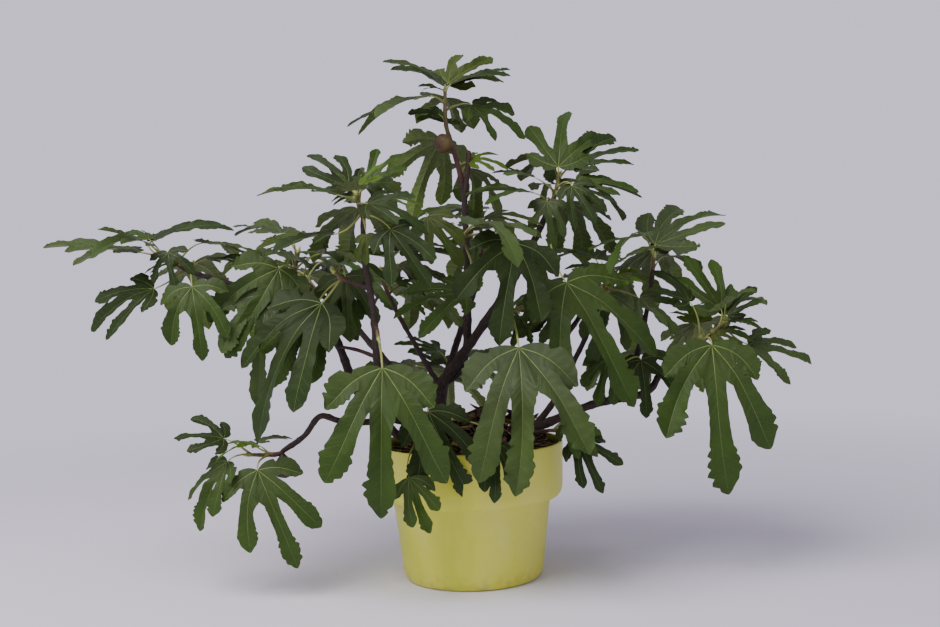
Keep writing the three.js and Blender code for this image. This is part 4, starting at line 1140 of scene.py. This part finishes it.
def potMaterial():
    # Sun-paled plastic: broad greener and paler clouds drawn down the wall, paler and rougher scuffs,
    # dirt round the foot, and soil stains with painted shade inside the collar that thin out to its top.
    material, tree = newMaterial("pot_plastic")
    place = onObject(tree)
    cloud = noise(tree, stretched(tree, place, (1, 1, 0.45)), 9.0, 4.0, 0.55)
    body = ramp(tree, cloud, (0.3, potLook["greener"]), (0.5, potLook["colour"]), (0.72, potLook["pale"]))
    fine = noise(tree, place, 70.0, 5.0)
    body = blend(tree, times(tree, fine, 0.35, -0.08, True), body, potLook["greener"])
    scratches = noise(tree, stretched(tree, place, (14, 14, 90), (0.5, 0.3, 0.2)), 3.0)
    scuff = ranged(tree, scratches, 0.67, 0.76)
    body = blend(tree, times(tree, scuff, 0.35), body, potLook["pale"])
    high = addNode(tree, "SeparateXYZ", {0: place}).outputs[2]
    dirt = times(tree, ranged(tree, high, 0.03, 0.0), ranged(tree, fine, 0.4, 0.7))
    body = blend(tree, times(tree, dirt, 0.5), body, potLook["dirt"])

    level = stretched(tree, place, (1, 1, 0))
    out = addNode(tree, "VectorMath", {0: level}, operation="LENGTH").outputs["Value"]
    bore, top = (pot["rim"] - pot["wall"]) / 1000, pot["height"] / 1000
    # inside the collar: soil stains and painted shade, darker further below the top
    within = ranged(tree, out, bore + 0.001, bore)
    collar = ranged(tree, high, top - 0.045, top - 0.04)
    deeper = ranged(tree, high, top - 0.002, top - 0.014)
    stainedShaded = times(tree, deeper, times(tree, fine, 0.5, 0.35), times(tree, fine, 0.35))
    stainedShaded = times(tree, times(tree, within, collar), stainedShaded, 0.0, True)
    body = blend(tree, stainedShaded, body, potLook["stainAndShade"])
    shine = times(tree, cloud, 0.3, potLook["roughness"] - 0.15)
    height = times(tree, scuff, 0.3, fine)
    return dress(material, body, times(tree, scuff, 0.2, shine), (height, 0.18, 0.002))


def earthMaterial(name, dark, light, scale, roughness=0.95):
    material, tree = newMaterial(name, Roughness=roughness)
    clump = noise(tree, onObject(tree), scale, 8.0, 0.7)
    return dress(material, ramp(tree, clump, (0.32, dark), (0.7, light)), relief=(clump, 0.9, 0.004))


seeds = {"bark": 11, "twigs": 12, "figs": 13, "buds": 14, "leaves": 15, "soil": 16, "crumbs": 17,
         "litter": 18}


def ringWalls(count, sides):
    # The two triangles between each corner of a ring, the next corner and the same two of the next ring.
    # Their corners taken in the order 0, 2, 1 make walls that face the other way.
    j = np.arange(sides)
    after = (j + 1) % sides
    i = np.arange(count - 1)[:, None] * sides
    a, b, c, d = i + j, i + after, i + sides + after, i + sides + j
    return np.stack([a, b, d, b, c, d], axis=-1).reshape(-1, 3)


def fan(first, sides, middle):
    # the triangles between a ring that starts at "first" and its middle point
    j = np.arange(sides)
    return np.column_stack([first + j, first + (j + 1) % sides, np.full(sides, middle)])


def tube(path, radius, sides, tone=None):
    # Rings of points round a path, each ring's corners at even turns round the path's way, from a side
    # that stands square to one fixed axis; radius has one number a ring, or one a corner. Both ends close
    # in a middle point.
    way = unit(np.gradient(path, axis=0))
    axis = np.eye(3)[np.abs(way).max(axis=0).argmin()]
    side = unit(np.cross(way, axis))
    out = np.cross(way, side)
    turn = evenTurns(sides)
    around = np.cos(turn)[None, :, None] * side[:, None] + np.sin(turn)[None, :, None] * out[:, None]
    radius = np.asarray(radius, float)
    radius = radius[:, None] if radius.ndim == 1 else radius
    rings = path[:, None] + radius[..., None] * around
    count = len(path)
    foot = fan(0, sides, count * sides)[:, [1, 0, 2]]
    head = fan((count - 1) * sides, sides, count * sides + 1)
    # the map: u goes round, and v is the way along in decimetres
    j, run = np.arange(sides), runAlong(path) / 100
    u0, u1, low, high = np.broadcast_arrays(j / sides, (j + 1) / sides, run[:-1, None], run[1:, None])
    wallMap = np.stack([u0, low, u1, low, u0, high, u1, low, u1, high, u0, high], axis=-1).reshape(-1, 3, 2)
    capMap = np.zeros((2 * sides, 3, 2))
    capMap[..., 0] = np.tile((j / sides)[:, None], (2, 3))
    capMap[sides:, :, 1] = run[-1]
    tones = np.zeros(count) if tone is None else np.broadcast_to(tone, (count,))
    return {"points": np.concatenate([rings.reshape(-1, 3), path[:1], path[-1:]]),
            "faces": np.concatenate([ringWalls(count, sides), foot, head]),
            "corners": np.concatenate([wallMap, capMap]),
            "tone": np.concatenate([np.repeat(tones, sides), tones[:1], tones[-1:]])}


bark = {
    "ring": 2.6, "leastRings": 8,         # spacing of the rings along a limb
    "sides": 20, "trunkSides": 28, "twigSides": 14, "snagSides": 12,
    "collar": 0.4, "collarReach": 1.3,    # reach in radii of the limb's foot
    "flare": 0.75, "flareFade": 4, "trunkSunk": 6,
    "firstScar": (8, 20), "lastScar": 4,  # how far from a limb's foot and tip
    "scars": (34, 17), "scarPlay": (0.7, 1.3), "scarTurn": 0.7,   # spacing at the foot and at the tip
    "scar": (0.075, 1.7), "swell": (0.07, 7), "pad": (0.16, 3), "padTurn": 0.6,   # heights and widths
    "lump": (0.045, 2, 40, 9), "ridge": (0.035, 5, 25, 17), "ridgeLeast": 0.4,
    "youngBelow": 13, "youthOver": 14, "youngest": 0.62,   # old wood's thickness, and how fast youth sets in
    "twigBack": 0.06, "twigSlim": 0.98, "twigYouth": (0.55, 1.0), "roundLeast": 0.02,
}


def wavesOn(run, turn, form, start, startAlong):
    # waves on a limb: their height, how many go round, how they wind on the way, and their length along it
    high, round, wind, length = form
    around = np.sin(round * turn + run[:, None] / wind + start)
    return high * around * np.sin(run / length + startAlong)[:, None]


def barkTube(path, foot, tip, sides, youth, rng, spread=0.0, collar=0.0, roundEnd=False):
    # A limb along its path: it tapers evenly, flares or has a collar at its foot, stands up in a ring at
    # each old leaf's place with the leaf's scar as a pad under it, by turns of the golden section, and
    # is made uneven by slow waves round and along it.
    at = evenPoints(lambda t: curveAt(path, t), bark["ring"], bark["leastRings"])
    run = runAlong(at)
    t = run / run[-1]
    plain = mix(foot, tip, t) * (1 + spread * (1 - t) ** bark["flareFade"])
    plain = plain * (1 + collar * np.exp(-run / (bark["collarReach"] * foot)))
    turn = evenTurns(sides)
    shape = np.ones((len(t), sides))
    padHigh, padWide = bark["pad"]
    place, k = rng.uniform(*bark["firstScar"]), 0
    while place < run[-1] - bark["lastScar"]:
        off = run - place
        for high, wide in (bark["scar"], bark["swell"]):
            shape += high * bell(off, wide)[:, None]
        heading = k * 2 * np.pi * seeded["goldenSection"] + bark["scarTurn"]
        near = bell(np.angle(np.exp(1j * (turn - heading))), bark["padTurn"])
        shape += padHigh * bell(off + padWide, padWide)[:, None] * near
        place += mix(*bark["scars"], place / run[-1]) * rng.uniform(*bark["scarPlay"])
        k += 1
    waves = rng.uniform(*phases, 4)
    old = np.clip(1 - youth[0] * 2, 0, 1)
    shape += wavesOn(run, turn, bark["lump"], waves[1], waves[0])
    shape += (bark["ridgeLeast"] + old) * wavesOn(run, turn, bark["ridge"], waves[2], waves[3])
    radius = plain[:, None] * shape
    if roundEnd:
        left = np.clip((run[-1] - run) / tip, 0, 1)
        radius = radius * np.sqrt(np.clip(1 - (1 - left) ** 2, bark["roundLeast"], 1))[:, None]
    return tube(at, radius, sides, mix(*youth, t))


# Stubs of cut shoots that stand on the limbs: their points, and radius and youth at foot and tip.
snags = [
    {"path": [[2, 20, 618], [9, 19, 660], [12, 19, 694]], "radii": (4.4, 4.0), "youth": (0.4, 0.55)},
    {"path": [[-200, 16, 352], [-206, 4, 372]], "radii": (2.8, 2.2), "youth": (0.3, 0.3)},
    {"path": [[60, 20, 455], [72, 22, 476]], "radii": (2.6, 2.0), "youth": (0.3, 0.3)},
    {"path": [[-141, -129, 452], [-132, -132, 468]], "radii": (2.6, 2.0), "youth": (0.3, 0.3)},
    {"path": [[150, 0, 252], [158, -6, 270]], "radii": (3.0, 2.4), "youth": (0.2, 0.2)},
]


def barkPiece():
    # the limbs, thin ones young and red-brown and thick ones dark, with the stubs on them
    rng = np.random.default_rng(seeds["bark"])
    tubes = []
    for limb in limbs:
        path, (foot, tip) = np.array(limb["path"], float), limb["thick"]
        thin = bark["youngBelow"] - np.array([foot, tip])
        youth = np.clip(thin / bark["youthOver"], 0, bark["youngest"])
        if limb["name"] == "trunk":
            path[0, 2] -= bark["trunkSunk"]
            form = {"sides": bark["trunkSides"], "spread": bark["flare"], "roundEnd": True}
        else:
            form = {"sides": bark["sides"], "collar": bark["collar"]}
        tubes.append(barkTube(path, foot / 2, tip / 2, youth=youth, rng=rng, **form))
    for snag in snags:
        path = np.array(snag["path"], float)
        tubes.append(barkTube(path, *snag["radii"], bark["snagSides"], snag["youth"], rng, roundEnd=True))
    makePiece("bark", joined(tubes), [barkMaterial()], [limb["name"] for limb in limbs])


def twigPiece():
    # each mass's stem grows on from inside its bough's tip, red-brown at first and green at its own
    rng = np.random.default_rng(seeds["twigs"])
    tubes = []
    for mass in masses:
        start = 2 * mass["curve"][0] - curveAt(mass["curve"], bark["twigBack"])
        path = np.array([start, *mass["curve"][1:]])
        foot, tip = (thick / 2 for thick in mass["thick"])
        tubes.append(barkTube(path, foot * bark["twigSlim"], tip, bark["twigSides"], bark["twigYouth"], rng))
    makePiece("twigs", joined(tubes), [barkMaterial()], [mass["name"] for mass in masses])


stalkForm = {
    "sides": 8, "rings": 14, "end": 0.0056, "into": 0.012, "under": 0.006,
    "foot": (0.55, 5), "neck": (0.25, 4),   # the swellings at its ends and how fast they fade
    "youngSlim": 0.72, "close": 0.5,
}


def stalkPiece():
    # A leaf's stalk: the Bezier from the stem to just under the blade's base, swollen where it leaves the
    # stem, thinning on the way, and a little thicker again where the veins part.
    tubes = []
    t = np.linspace(0, 1, stalkForm["rings"] + 1)
    (footSwell, footFade), (neckSwell, neckFade) = stalkForm["foot"], stalkForm["neck"]
    for mass in masses:
        for leaf in mass["grown"]:
            ends, length = leaf["stalk"].copy(), leaf["length"]
            inward = leaf["forward"] * stalkForm["into"] - leaf["up"] * stalkForm["under"]
            ends[2] = leaf["base"] + length * inward
            path = bezierAt(ends, t)
            run = runAlong(path)
            slim = stalkForm["youngSlim"] if leaf.get("young") else 1
            radius = mix(leafForm["stalk"] / 2 * slim, stalkForm["end"] * length, t)
            swell = footSwell * np.exp(-run / footFade) + neckSwell * np.exp(-(run[-1] - run) / neckFade)
            radius = radius * (1 + swell)
            radius[-1] *= stalkForm["close"]
            tubes.append(tube(path, radius, stalkForm["sides"], t))
    makePiece("leaf_stalks", joined(tubes), [stalkMaterial()])


turnedForm = {"leastWidth": 0.002, "ribCount": 9}


def turned(profile, at, direction, size, sides, tone, steps, ribs=0.0):
    # a turned shape stood on a point, from its half widths at shares of its length, and ribbed
    shares, widths = np.array(profile, float).T
    u = 0.5 - 0.5 * np.cos(np.pi * np.linspace(0, 1, steps))
    path = np.array(at) + np.multiply.outer(u * size, unit(np.array(direction, float)))
    width = np.maximum(np.interp(u, shares, widths), turnedForm["leastWidth"]) * size
    rib = np.cos(evenTurns(sides) * turnedForm["ribCount"])[None, :] * np.sin(np.pi * u)[:, None]
    rib = 1 + ribs * rib
    return tube(path, width[:, None] * rib, sides, tone)


figProfile = [(0, 0.07), (0.06, 0.08), (0.13, 0.12), (0.2, 0.18), (0.3, 0.27), (0.42, 0.36), (0.55, 0.42),
              (0.66, 0.44), (0.78, 0.42), (0.88, 0.34), (0.94, 0.24), (0.975, 0.12), (0.985, 0.09),
              (1, 0.05)]
budProfile = [(0, 0.24), (0.12, 0.27), (0.35, 0.24), (0.6, 0.16), (0.85, 0.06), (1, 0.01)]
greenFigs = [   # small unripe figs: the mass, the place along its stem, the way that it stands, and its size
    ("far_right_foliage", 0.8, (0.3, -0.9, 0.5), 13), ("far_right_foliage", 0.66, (-0.5, -0.7, 0.6), 15),
    ("upper_left_foliage", 0.75, (-0.6, -0.7, 0.5), 13), ("upper_left_foliage", 0.4, (0.8, -0.5, 0.3), 15),
    ("upper_right_foliage", 0.7, (0.7, -0.7, 0.4), 14), ("centre_foliage", 0.6, (-0.6, -0.7, 0.5), 13),
    ("back_foliage", 0.6, (0.5, 0.8, 0.3), 15), ("back_left_foliage", 0.7, (-0.6, 0.6, 0.5), 14),
    ("back_right_foliage", 0.5, (0.6, 0.7, 0.3), 14), ("right_middle_foliage", 0.6, (0.6, -0.6, 0.5), 12),
]
figForm = {
    "ripe": {"sides": 36, "steps": 32, "ribs": 0.02}, "green": {"sides": 18, "steps": 18, "ribs": 0.02},
    "greenTones": (0.05, 0.3), "ripeness": ((40, 0.95), (20, 0.62), (0, 0.12)),   # the tone above each size
}
budForm = {
    # a bud at a shoot's tip: how far it may lean and is sunk in
    "lean": 0.15, "sunk": 2, "tip": {"size": 12, "sides": 12, "tone": 0.9, "steps": 15},
    # one by a stalk: how far it stands out and up from the stalk's foot, and how upright it is
    "out": 1.2, "up": 1.5, "upright": 1.3, "small": {"size": 7, "sides": 8, "tone": 0.5, "steps": 8},
}


def fruitPiece():
    rng = np.random.default_rng(seeds["figs"])
    shapes = []
    for mass in masses:
        for along, direction, size in mass.get("figs", []):
            tone = next(tone for above, tone in figForm["ripeness"] if size > above)
            at = curveAt(mass["curve"], along)
            shapes.append(turned(figProfile, at, direction, size, tone=tone, **figForm["ripe"]))
    curves = {mass["name"]: mass["curve"] for mass in masses}
    for name, along, direction, size in greenFigs:
        at, tone = curveAt(curves[name], along), rng.uniform(*figForm["greenTones"])
        shapes.append(turned(figProfile, at, direction, size, tone=tone, **figForm["green"]))
    makePiece("figs", joined(shapes), [figMaterial()])


def budPiece():
    # a pointed bud at each shoot's tip, and small ones where stalks leave the stem
    rng = np.random.default_rng(seeds["buds"])
    shapes = []
    for mass in masses:
        tip, way = curveAt(mass["curve"], 1.0), tangentAt(mass["curve"], 1.0)
        lean = rng.uniform(-budForm["lean"], budForm["lean"], 3)
        shapes.append(turned(budProfile, tip - way * budForm["sunk"], way + lean, **budForm["tip"]))
        for leaf in mass["grown"]:
            foot = curveAt(mass["curve"], leaf["along"])
            out = unit(leaf["stalk"][1] - leaf["stalk"][0])
            at = foot + out * budForm["out"] + way * budForm["up"]
            shapes.append(turned(budProfile, at, way * budForm["upright"] + out, **budForm["small"]))
    makePiece("buds", joined(shapes), [stalkMaterial()])


leafGroups = {
    "leaves_top": ["top_foliage", "upper_right_foliage", "upper_left_foliage"],
    "leaves_left": ["far_left_foliage", "left_foliage", "lower_left_foliage", "front_left_foliage"],
    "leaves_front": ["front_foliage", "middle_foliage", "centre_foliage", "front_right_foliage",
                     "low_front_foliage", "rim_sprout_foliage"],
    "leaves_right": ["right_middle_foliage", "right_upper_foliage", "far_right_foliage",
                     "right_low_foliage"],
    "leaves_back": ["back_foliage", "back_left_foliage", "back_right_foliage", "back_low_foliage"],
}
# How leaves are dealt out: the length under which one is plain, and the draw below which each tone is taken.
dealt = {"plainUnder": 115, "plainRows": 0.5, "youngFresh": 0.55,
         "tones": (("deep", 0.36), ("grey", 0.66), ("green", 0.97), ("worn", 1))}


def leafPieces():
    # each leaf has one tone of its own, many young ones the fresh tone, and a few others the worn one
    fine, plain = layOut(1), layOut(dealt["plainRows"])
    materials = leafMaterials()
    names = list(leafTones)
    for name, group in leafGroups.items():
        blades = []
        for index, mass in enumerate(masses):
            if mass["name"] not in group:
                continue
            for k, leaf in enumerate(mass["grown"]):
                rng = np.random.default_rng([seeds["leaves"], index, k])
                blade = bladeMesh(leaf, plain if leaf["length"] < dealt["plainUnder"] else fine, rng)
                pick = rng.random()
                tone = next(tone for tone, below in dealt["tones"] if pick < below)
                if leaf.get("young") and pick < dealt["youngFresh"]:
                    tone = "fresh"
                shift = len(names) - 1 + blade["kinds"]
                blade["kinds"] = np.where(blade["kinds"] == 0, names.index(tone), shift)
                blades.append(blade)
        makePiece(name, joined(blades), materials, group)


# The pot's outline is cut at about the step; its wall is a little oval, and a little wavy.
potForm = {"step": 9, "cornerSteps": 8, "least": 0.05, "oval": 0.004, "wavy": 0.002}


def potPiece():
    # The shell turned round its axis: straight stretches and rounded corners, each a quadratic curve, with
    # a slight unevenness that goes with the turn and the height.
    height, rim, wall = pot["height"], pot["rim"], pot["wall"]
    foot = height - pot["collar"]
    outline = [
        [(96, 0.4)], [(104, 0), (115, 1), (116, 30)], [(128, foot - 3)],
        [(128, foot - 3), (128.6, foot - 0.4), (131, foot - 0.2)], [(133, foot)],
        [(133, foot), (147.6, foot + 0.4), (149, foot + 19)], [(rim - 0.15, height - 3.4)],
        [(rim - 0.15, height - 3.4), (rim, height), (rim - 1.8, height)],
        [(rim - 2.2, height), (rim - wall, height), (rim - wall, height - 2.4)],
        [(rim - wall - 2, foot + 14)], [(124, foot - 6)], [(108, 5)], [(2, 5)],
    ]
    profile = np.array([[0, 0.6], [90, 0.6]])
    for stretch in outline:
        stretch = np.array(stretch, float)
        if len(stretch) == 1:
            steps = max(1, round(np.linalg.norm(stretch - profile[-1]) / potForm["step"]))
            section = mix(profile[-1], stretch, np.linspace(0, 1, steps + 1)[1:, None])
        else:
            section = bezierAt(stretch, np.linspace(0, 1, potForm["cornerSteps"]))
        profile = np.concatenate([profile, section])
    apart = np.linalg.norm(np.diff(profile, axis=0), axis=1) > potForm["least"]
    r, z = profile[np.concatenate([[True], apart])].T
    turn = evenTurns(pot["sides"])
    share = np.clip(z / height, 0, 1)[:, None]
    uneven = 1 - potForm["oval"] * share * (1 - np.cos(2 * turn + 0.6)) / 2
    uneven -= potForm["wavy"] * (1 - np.cos(5 * turn + 3 * share)) / 2
    ring = r[:, None] * uneven
    points = np.stack([ring * np.cos(turn), ring * np.sin(turn), z[:, None] + 0 * ring], axis=-1)
    points = np.concatenate([points.reshape(-1, 3), [(0, 0, z[-1])]])
    # the first ring lies on the axis, so it becomes one point, and the last one closes in another
    points[0] = (0, 0, z[0])
    faces = ringWalls(len(r), pot["sides"])
    faces = np.where(faces < pot["sides"], 0, faces)
    faces = np.concatenate([faces, fan((len(r) - 1) * pot["sides"], pot["sides"], len(points) - 1)])
    faces = faces[(faces != np.roll(faces, 1, axis=1)).all(axis=1)]
    used, tidy = np.unique(faces, return_inverse=True)
    whole = {"points": points[used], "faces": tidy.reshape(-1, 3)}
    makePiece("pot_shell", whole, [potMaterial()], ["pot"])


soilForm = {
    "radius": 145.4, "rings": 60, "sides": 180,
    "low": 3, "lowBy": 6, "deep": 30,                      # lower by the wall, and its thickness there
    "lumps": ((60, 2.2), (22, 1.5), (9, 1.0), (4, 0.5)),   # length and height of the waves
    "directions": 7, "calm": 3,
    "heaps": [(16, 6, 42, 84), (96, 52, 19, 44)],          # each heap's place, height and spread
}


def lumps(x, y, rng):
    # an uneven ground: waves in many directions, shorter ones lower
    z = 0 * x
    for size, height in soilForm["lumps"]:
        for _ in range(soilForm["directions"]):
            heading, start = rng.uniform(0, 2 * np.pi, 2)
            on = x * np.cos(heading) + y * np.sin(heading)
            z += height / soilForm["calm"] * np.sin(on * 2 * np.pi / size + start)
    return z


def heap(x, y):
    # the litter heaped by the trunk and against the wall: a bell over each place
    return sum(high * bell(np.hypot(x - overX, y - overY), spread)
               for overX, overY, high, spread in soilForm["heaps"])


def soilPiece():
    # the ground in the pot: a disc of rings with lumps, a little lower by the wall and heaped at the trunk
    rng = np.random.default_rng(seeds["soil"])
    shares, sides = np.linspace(0, 1, soilForm["rings"] + 1)[1:], soilForm["sides"]
    rings, turn = soilForm["radius"] * shares, evenTurns(sides)
    x, y = np.outer(rings, np.cos(turn)), np.outer(rings, np.sin(turn))
    z = soilTop + lumps(x, y, rng) + heap(x, y) - soilForm["low"] * shares[:, None] ** soilForm["lowBy"]
    top = np.stack([x, y, z], axis=-1).reshape(-1, 3)
    # below its last ring the ground has a wall and an underside, hidden in the pot
    edge = top[-sides:] - (0, 0, soilForm["deep"])
    points = np.concatenate([top, edge, [(0, 0, z[0].mean()), (0, 0, soilTop - soilForm["deep"])]])
    first = len(top)
    faces = np.concatenate([ringWalls(len(shares) + 1, sides)[:, [0, 2, 1]], fan(0, sides, len(points) - 2),
                            fan(first, sides, len(points) - 1)[:, [1, 0, 2]]])
    soil = earthMaterial("soil", rgb(22, 17, 14), rgb(66, 52, 40), 120.0)
    makePiece("soil_bed", {"points": points, "faces": faces}, [soil], ["soil"])


crumbForm = {"count": 640, "reach": 142, "size": (1.6, 5.5), "stretch": (0.6, 1.3), "uneven": (0.8, 1.2),
             "flat": 0.7, "above": (0, 4)}


def crumbPiece():
    # crumbs of bark and earth: stretched eight-faced lumps, each turned and put on the ground by draw
    rng = np.random.default_rng(seeds["crumbs"])
    count = crumbForm["count"]
    away = crumbForm["reach"] * np.sqrt(rng.random(count))
    turn = rng.uniform(0, 2 * np.pi, count)
    size = rng.uniform(*crumbForm["size"], (count, 1)) * rng.uniform(*crumbForm["stretch"], (count, 3))
    corners = np.array([[1, 0, 0], [-1, 0, 0], [0, 1, 0], [0, -1, 0], [0, 0, 1], [0, 0, -1]], float)
    shape = corners[None] * size[:, None] * rng.uniform(*crumbForm["uneven"], (count, 6, 1))
    spin = rng.uniform(0, 2 * np.pi, count)
    flat = (shape[..., 0] + 1j * shape[..., 1]) * np.exp(1j * spin)[:, None]
    flat = flat + (away * np.exp(1j * turn))[:, None]
    x, y = flat.real, flat.imag
    above = soilTop + rng.uniform(*crumbForm["above"], (count, 1)) + heap(x.mean(1), y.mean(1))[:, None]
    points = np.stack([x, y, shape[..., 2] * crumbForm["flat"] + above], axis=-1).reshape(-1, 3)
    faces = np.array([[0, 2, 4], [2, 1, 4], [1, 3, 4], [3, 0, 4], [2, 0, 5], [1, 2, 5], [3, 1, 5],
                      [0, 3, 5]])
    faces = (faces[None] + 6 * np.arange(count)[:, None, None]).reshape(-1, 3)
    crumb = earthMaterial("bark_crumb", rgb(40, 28, 22), rgb(104, 78, 56), 260.0)
    makePiece("crumbs", {"points": points, "faces": faces}, [crumb])


# Litter: how far out it lies and by what power of a draw, how high above the ground or the heap, and how
# much its way rises; then each kind's own sizes.
strawForm = {
    "count": 190, "reach": 126, "power": 0.5, "above": (3, 11), "heaped": (1, 1.5), "rise": (-0.12, 0.3),
    "length": (16, 58), "bend": 0.12, "thick": (0.5, 1.15), "tip": 0.6, "sides": 5, "points": 5,
    "within": 141,
}
flakeForm = {
    "count": 150, "reach": 112, "power": 0.6, "above": (4, 12), "heaped": (1, 1.45), "rise": (-0.25, 0.45),
    "length": (22, 66), "width": (9, 26), "curl": 2.0, "twist": 1.4, "thickness": 0.35, "cup": 0.25,
    "brownShare": 0.84, "points": 7, "leastCurl": 0.2, "ends": (0.03, 0.97), "fullness": 0.6,
    "upright": (0.02, 0.03, 1.0),
}


def scattered(rng, form):
    # where a piece of litter lies and the way that it points
    away = form["reach"] * rng.random() ** form["power"]
    turn, heading = rng.uniform(0, 2 * np.pi, 2)
    start = np.array([away * math.cos(turn), away * math.sin(turn), soilTop + rng.uniform(*form["above"])])
    start[2] += heap(*start[:2]) * rng.uniform(*form["heaped"])
    return start, unit(np.array([math.cos(heading), math.sin(heading), rng.uniform(*form["rise"])]))


def straw(rng):
    # a thin stick, bent a little and kept inside the pot
    start, way = scattered(rng, strawForm)
    length = rng.uniform(*strawForm["length"])
    bend = rng.uniform(-strawForm["bend"], strawForm["bend"], 3)
    t = np.linspace(0, 1, strawForm["points"])[:, None]
    path = start + length * (t - 0.5) * way + length * t * (1 - t) * bend
    out = np.hypot(path[:, 0], path[:, 1])
    path[:, :2] *= np.minimum(1, strawForm["within"] / np.maximum(out, 1))[:, None]
    radius = rng.uniform(*strawForm["thick"]) * np.linspace(1, strawForm["tip"], strawForm["points"])
    return tube(path, radius, strawForm["sides"], rng.random())


def flake(start, way, length, width, curl, twist):
    # a dry flake: a strip along a curling line, widest in the middle, its two sheets apart by its thickness
    u = np.linspace(0, 1, flakeForm["points"])
    bend, tight = curl * (u - 0.5), max(abs(curl), flakeForm["leastCurl"])
    side = unit(np.cross(way, flakeForm["upright"]))
    up = np.cross(side, way)
    middle = np.outer(np.sin(bend), way) + np.outer(1 - np.cos(bend), up)
    middle = start + length / tight * middle
    half = np.sin(np.pi * np.clip(u, *flakeForm["ends"])) ** flakeForm["fullness"]
    half = width / 2 * half[:, None]
    lean = half * (np.cos(twist * u)[:, None] * side + np.sin(twist * u)[:, None] * up)
    rim = middle + flakeForm["cup"] * half * up
    ring = np.stack([rim + lean, middle, rim - lean, middle - flakeForm["thickness"] * up], axis=1)
    end = (len(u) - 1) * 4
    caps = np.array([[0, 1, 2], [0, 2, 3], [end, end + 2, end + 1], [end, end + 3, end + 2]])
    faces = np.concatenate([ringWalls(len(u), 4)[:, [0, 2, 1]], caps])
    return {"points": ring.reshape(-1, 3), "faces": faces}


def litterPieces():
    # straws and dry leaf flakes that lie on the ground, and more of them heaped by the trunk
    rng = np.random.default_rng(seeds["litter"])
    straws = [straw(rng) for _ in range(strawForm["count"])]
    brown, yellowed = [], []
    for _ in range(flakeForm["count"]):
        start, way = scattered(rng, flakeForm)
        kind = brown if rng.random() < flakeForm["brownShare"] else yellowed
        length, width = rng.uniform(*flakeForm["length"]), rng.uniform(*flakeForm["width"])
        curl, twist = (rng.uniform(-flakeForm[key], flakeForm[key]) for key in ("curl", "twist"))
        kind.append(flake(start, way, length, width, curl, twist))
    pale = earthMaterial("straw", rgb(108, 84, 50), rgb(176, 150, 96), 160.0, 0.8)
    dry = earthMaterial("dry_leaf", rgb(44, 30, 26), rgb(104, 76, 52), 90.0, 0.85)
    yellow = earthMaterial("yellowed_leaf", rgb(92, 82, 34), rgb(152, 126, 52), 70.0, 0.8)
    makePiece("straws", joined(straws), [pale])
    makePiece("dry_leaves", joined(brown), [dry])
    makePiece("yellowed_leaves", joined(yellowed), [yellow])


barkPiece()
twigPiece()
stalkPiece()
leafPieces()
fruitPiece()
budPiece()
potPiece()
soilPiece()
crumbPiece()
litterPieces()


studio = {
    "paper": rgb(191, 185, 204), "floor": rgb(238, 234, 247), "floorSize": 60.0, "fade": (0.8, 2.4),
    "seen": 1.65, "given": 0.7,   # the wall's brightness as it is seen, and as it lights the tree
    "aim": (0, 0, 0.42),
    "key": {"place": (-1.6, -1.5, 3.2), "size": 3.2, "power": 150, "colour": (1.0, 0.98, 0.95)},
    "fill": {"place": (1.6, -2.9, 1.4), "size": 2.2, "power": 10, "colour": (0.92, 0.95, 1.0)},
}


def addFloor():
    # a pale sheet of paper: near the pot it takes shadows, and further off it goes over into its own even
    # brightness, so that it meets the wall of the same paper with no edge
    half = studio["floorSize"]
    corners = [(-half, -half, 0), (half, -half, 0), (half, half, 0), (-half, half, 0)]
    mesh = bpy.data.meshes.new("paper_floor")
    mesh.from_pydata(corners, [], [(0, 1, 2, 3)])
    floor = addObject("paper_floor", mesh)
    material, tree = newMaterial("paper", **{"Base Color": studio["floor"], "Roughness": 0.9})
    away = addNode(tree, "VectorMath", {0: onObject(tree)}, operation="LENGTH").outputs["Value"]
    even = ranged(tree, away, *studio["fade"], "SMOOTHSTEP")
    glow = addNode(tree, "Emission", {"Color": studio["paper"], "Strength": studio["seen"]})
    paper = tree.nodes["Principled BSDF"]
    both = addNode(tree, "MixShader", {0: even, 1: paper.outputs[0], 2: glow.outputs[0]})
    feed(tree, tree.nodes["Material Output"].inputs["Surface"], both.outputs[0])
    mesh.materials.append(material)


def addLights():
    world = bpy.data.worlds.new("studio")
    bpy.context.scene.world = world
    world.use_nodes = True
    tree = world.node_tree
    background = tree.nodes["Background"].inputs
    background["Color"].default_value = studio["paper"]
    looking = addNode(tree, "LightPath").outputs["Is Camera Ray"]
    strength = times(tree, looking, studio["seen"] - studio["given"], studio["given"])
    feed(tree, background["Strength"], strength)
    for name in ("key", "fill"):
        lamp = studio[name]
        data = bpy.data.lights.new(name, "AREA")
        data.shape, data.size, data.energy, data.color = "DISK", lamp["size"], lamp["power"], lamp["colour"]
        back = unit(np.array(lamp["place"]) - studio["aim"])
        side = unit(np.cross([0, 0, 1], back))
        addObject(name, data, (side, np.cross(back, side), back), lamp["place"])


addFloor()
addLights()
print("studio lit")
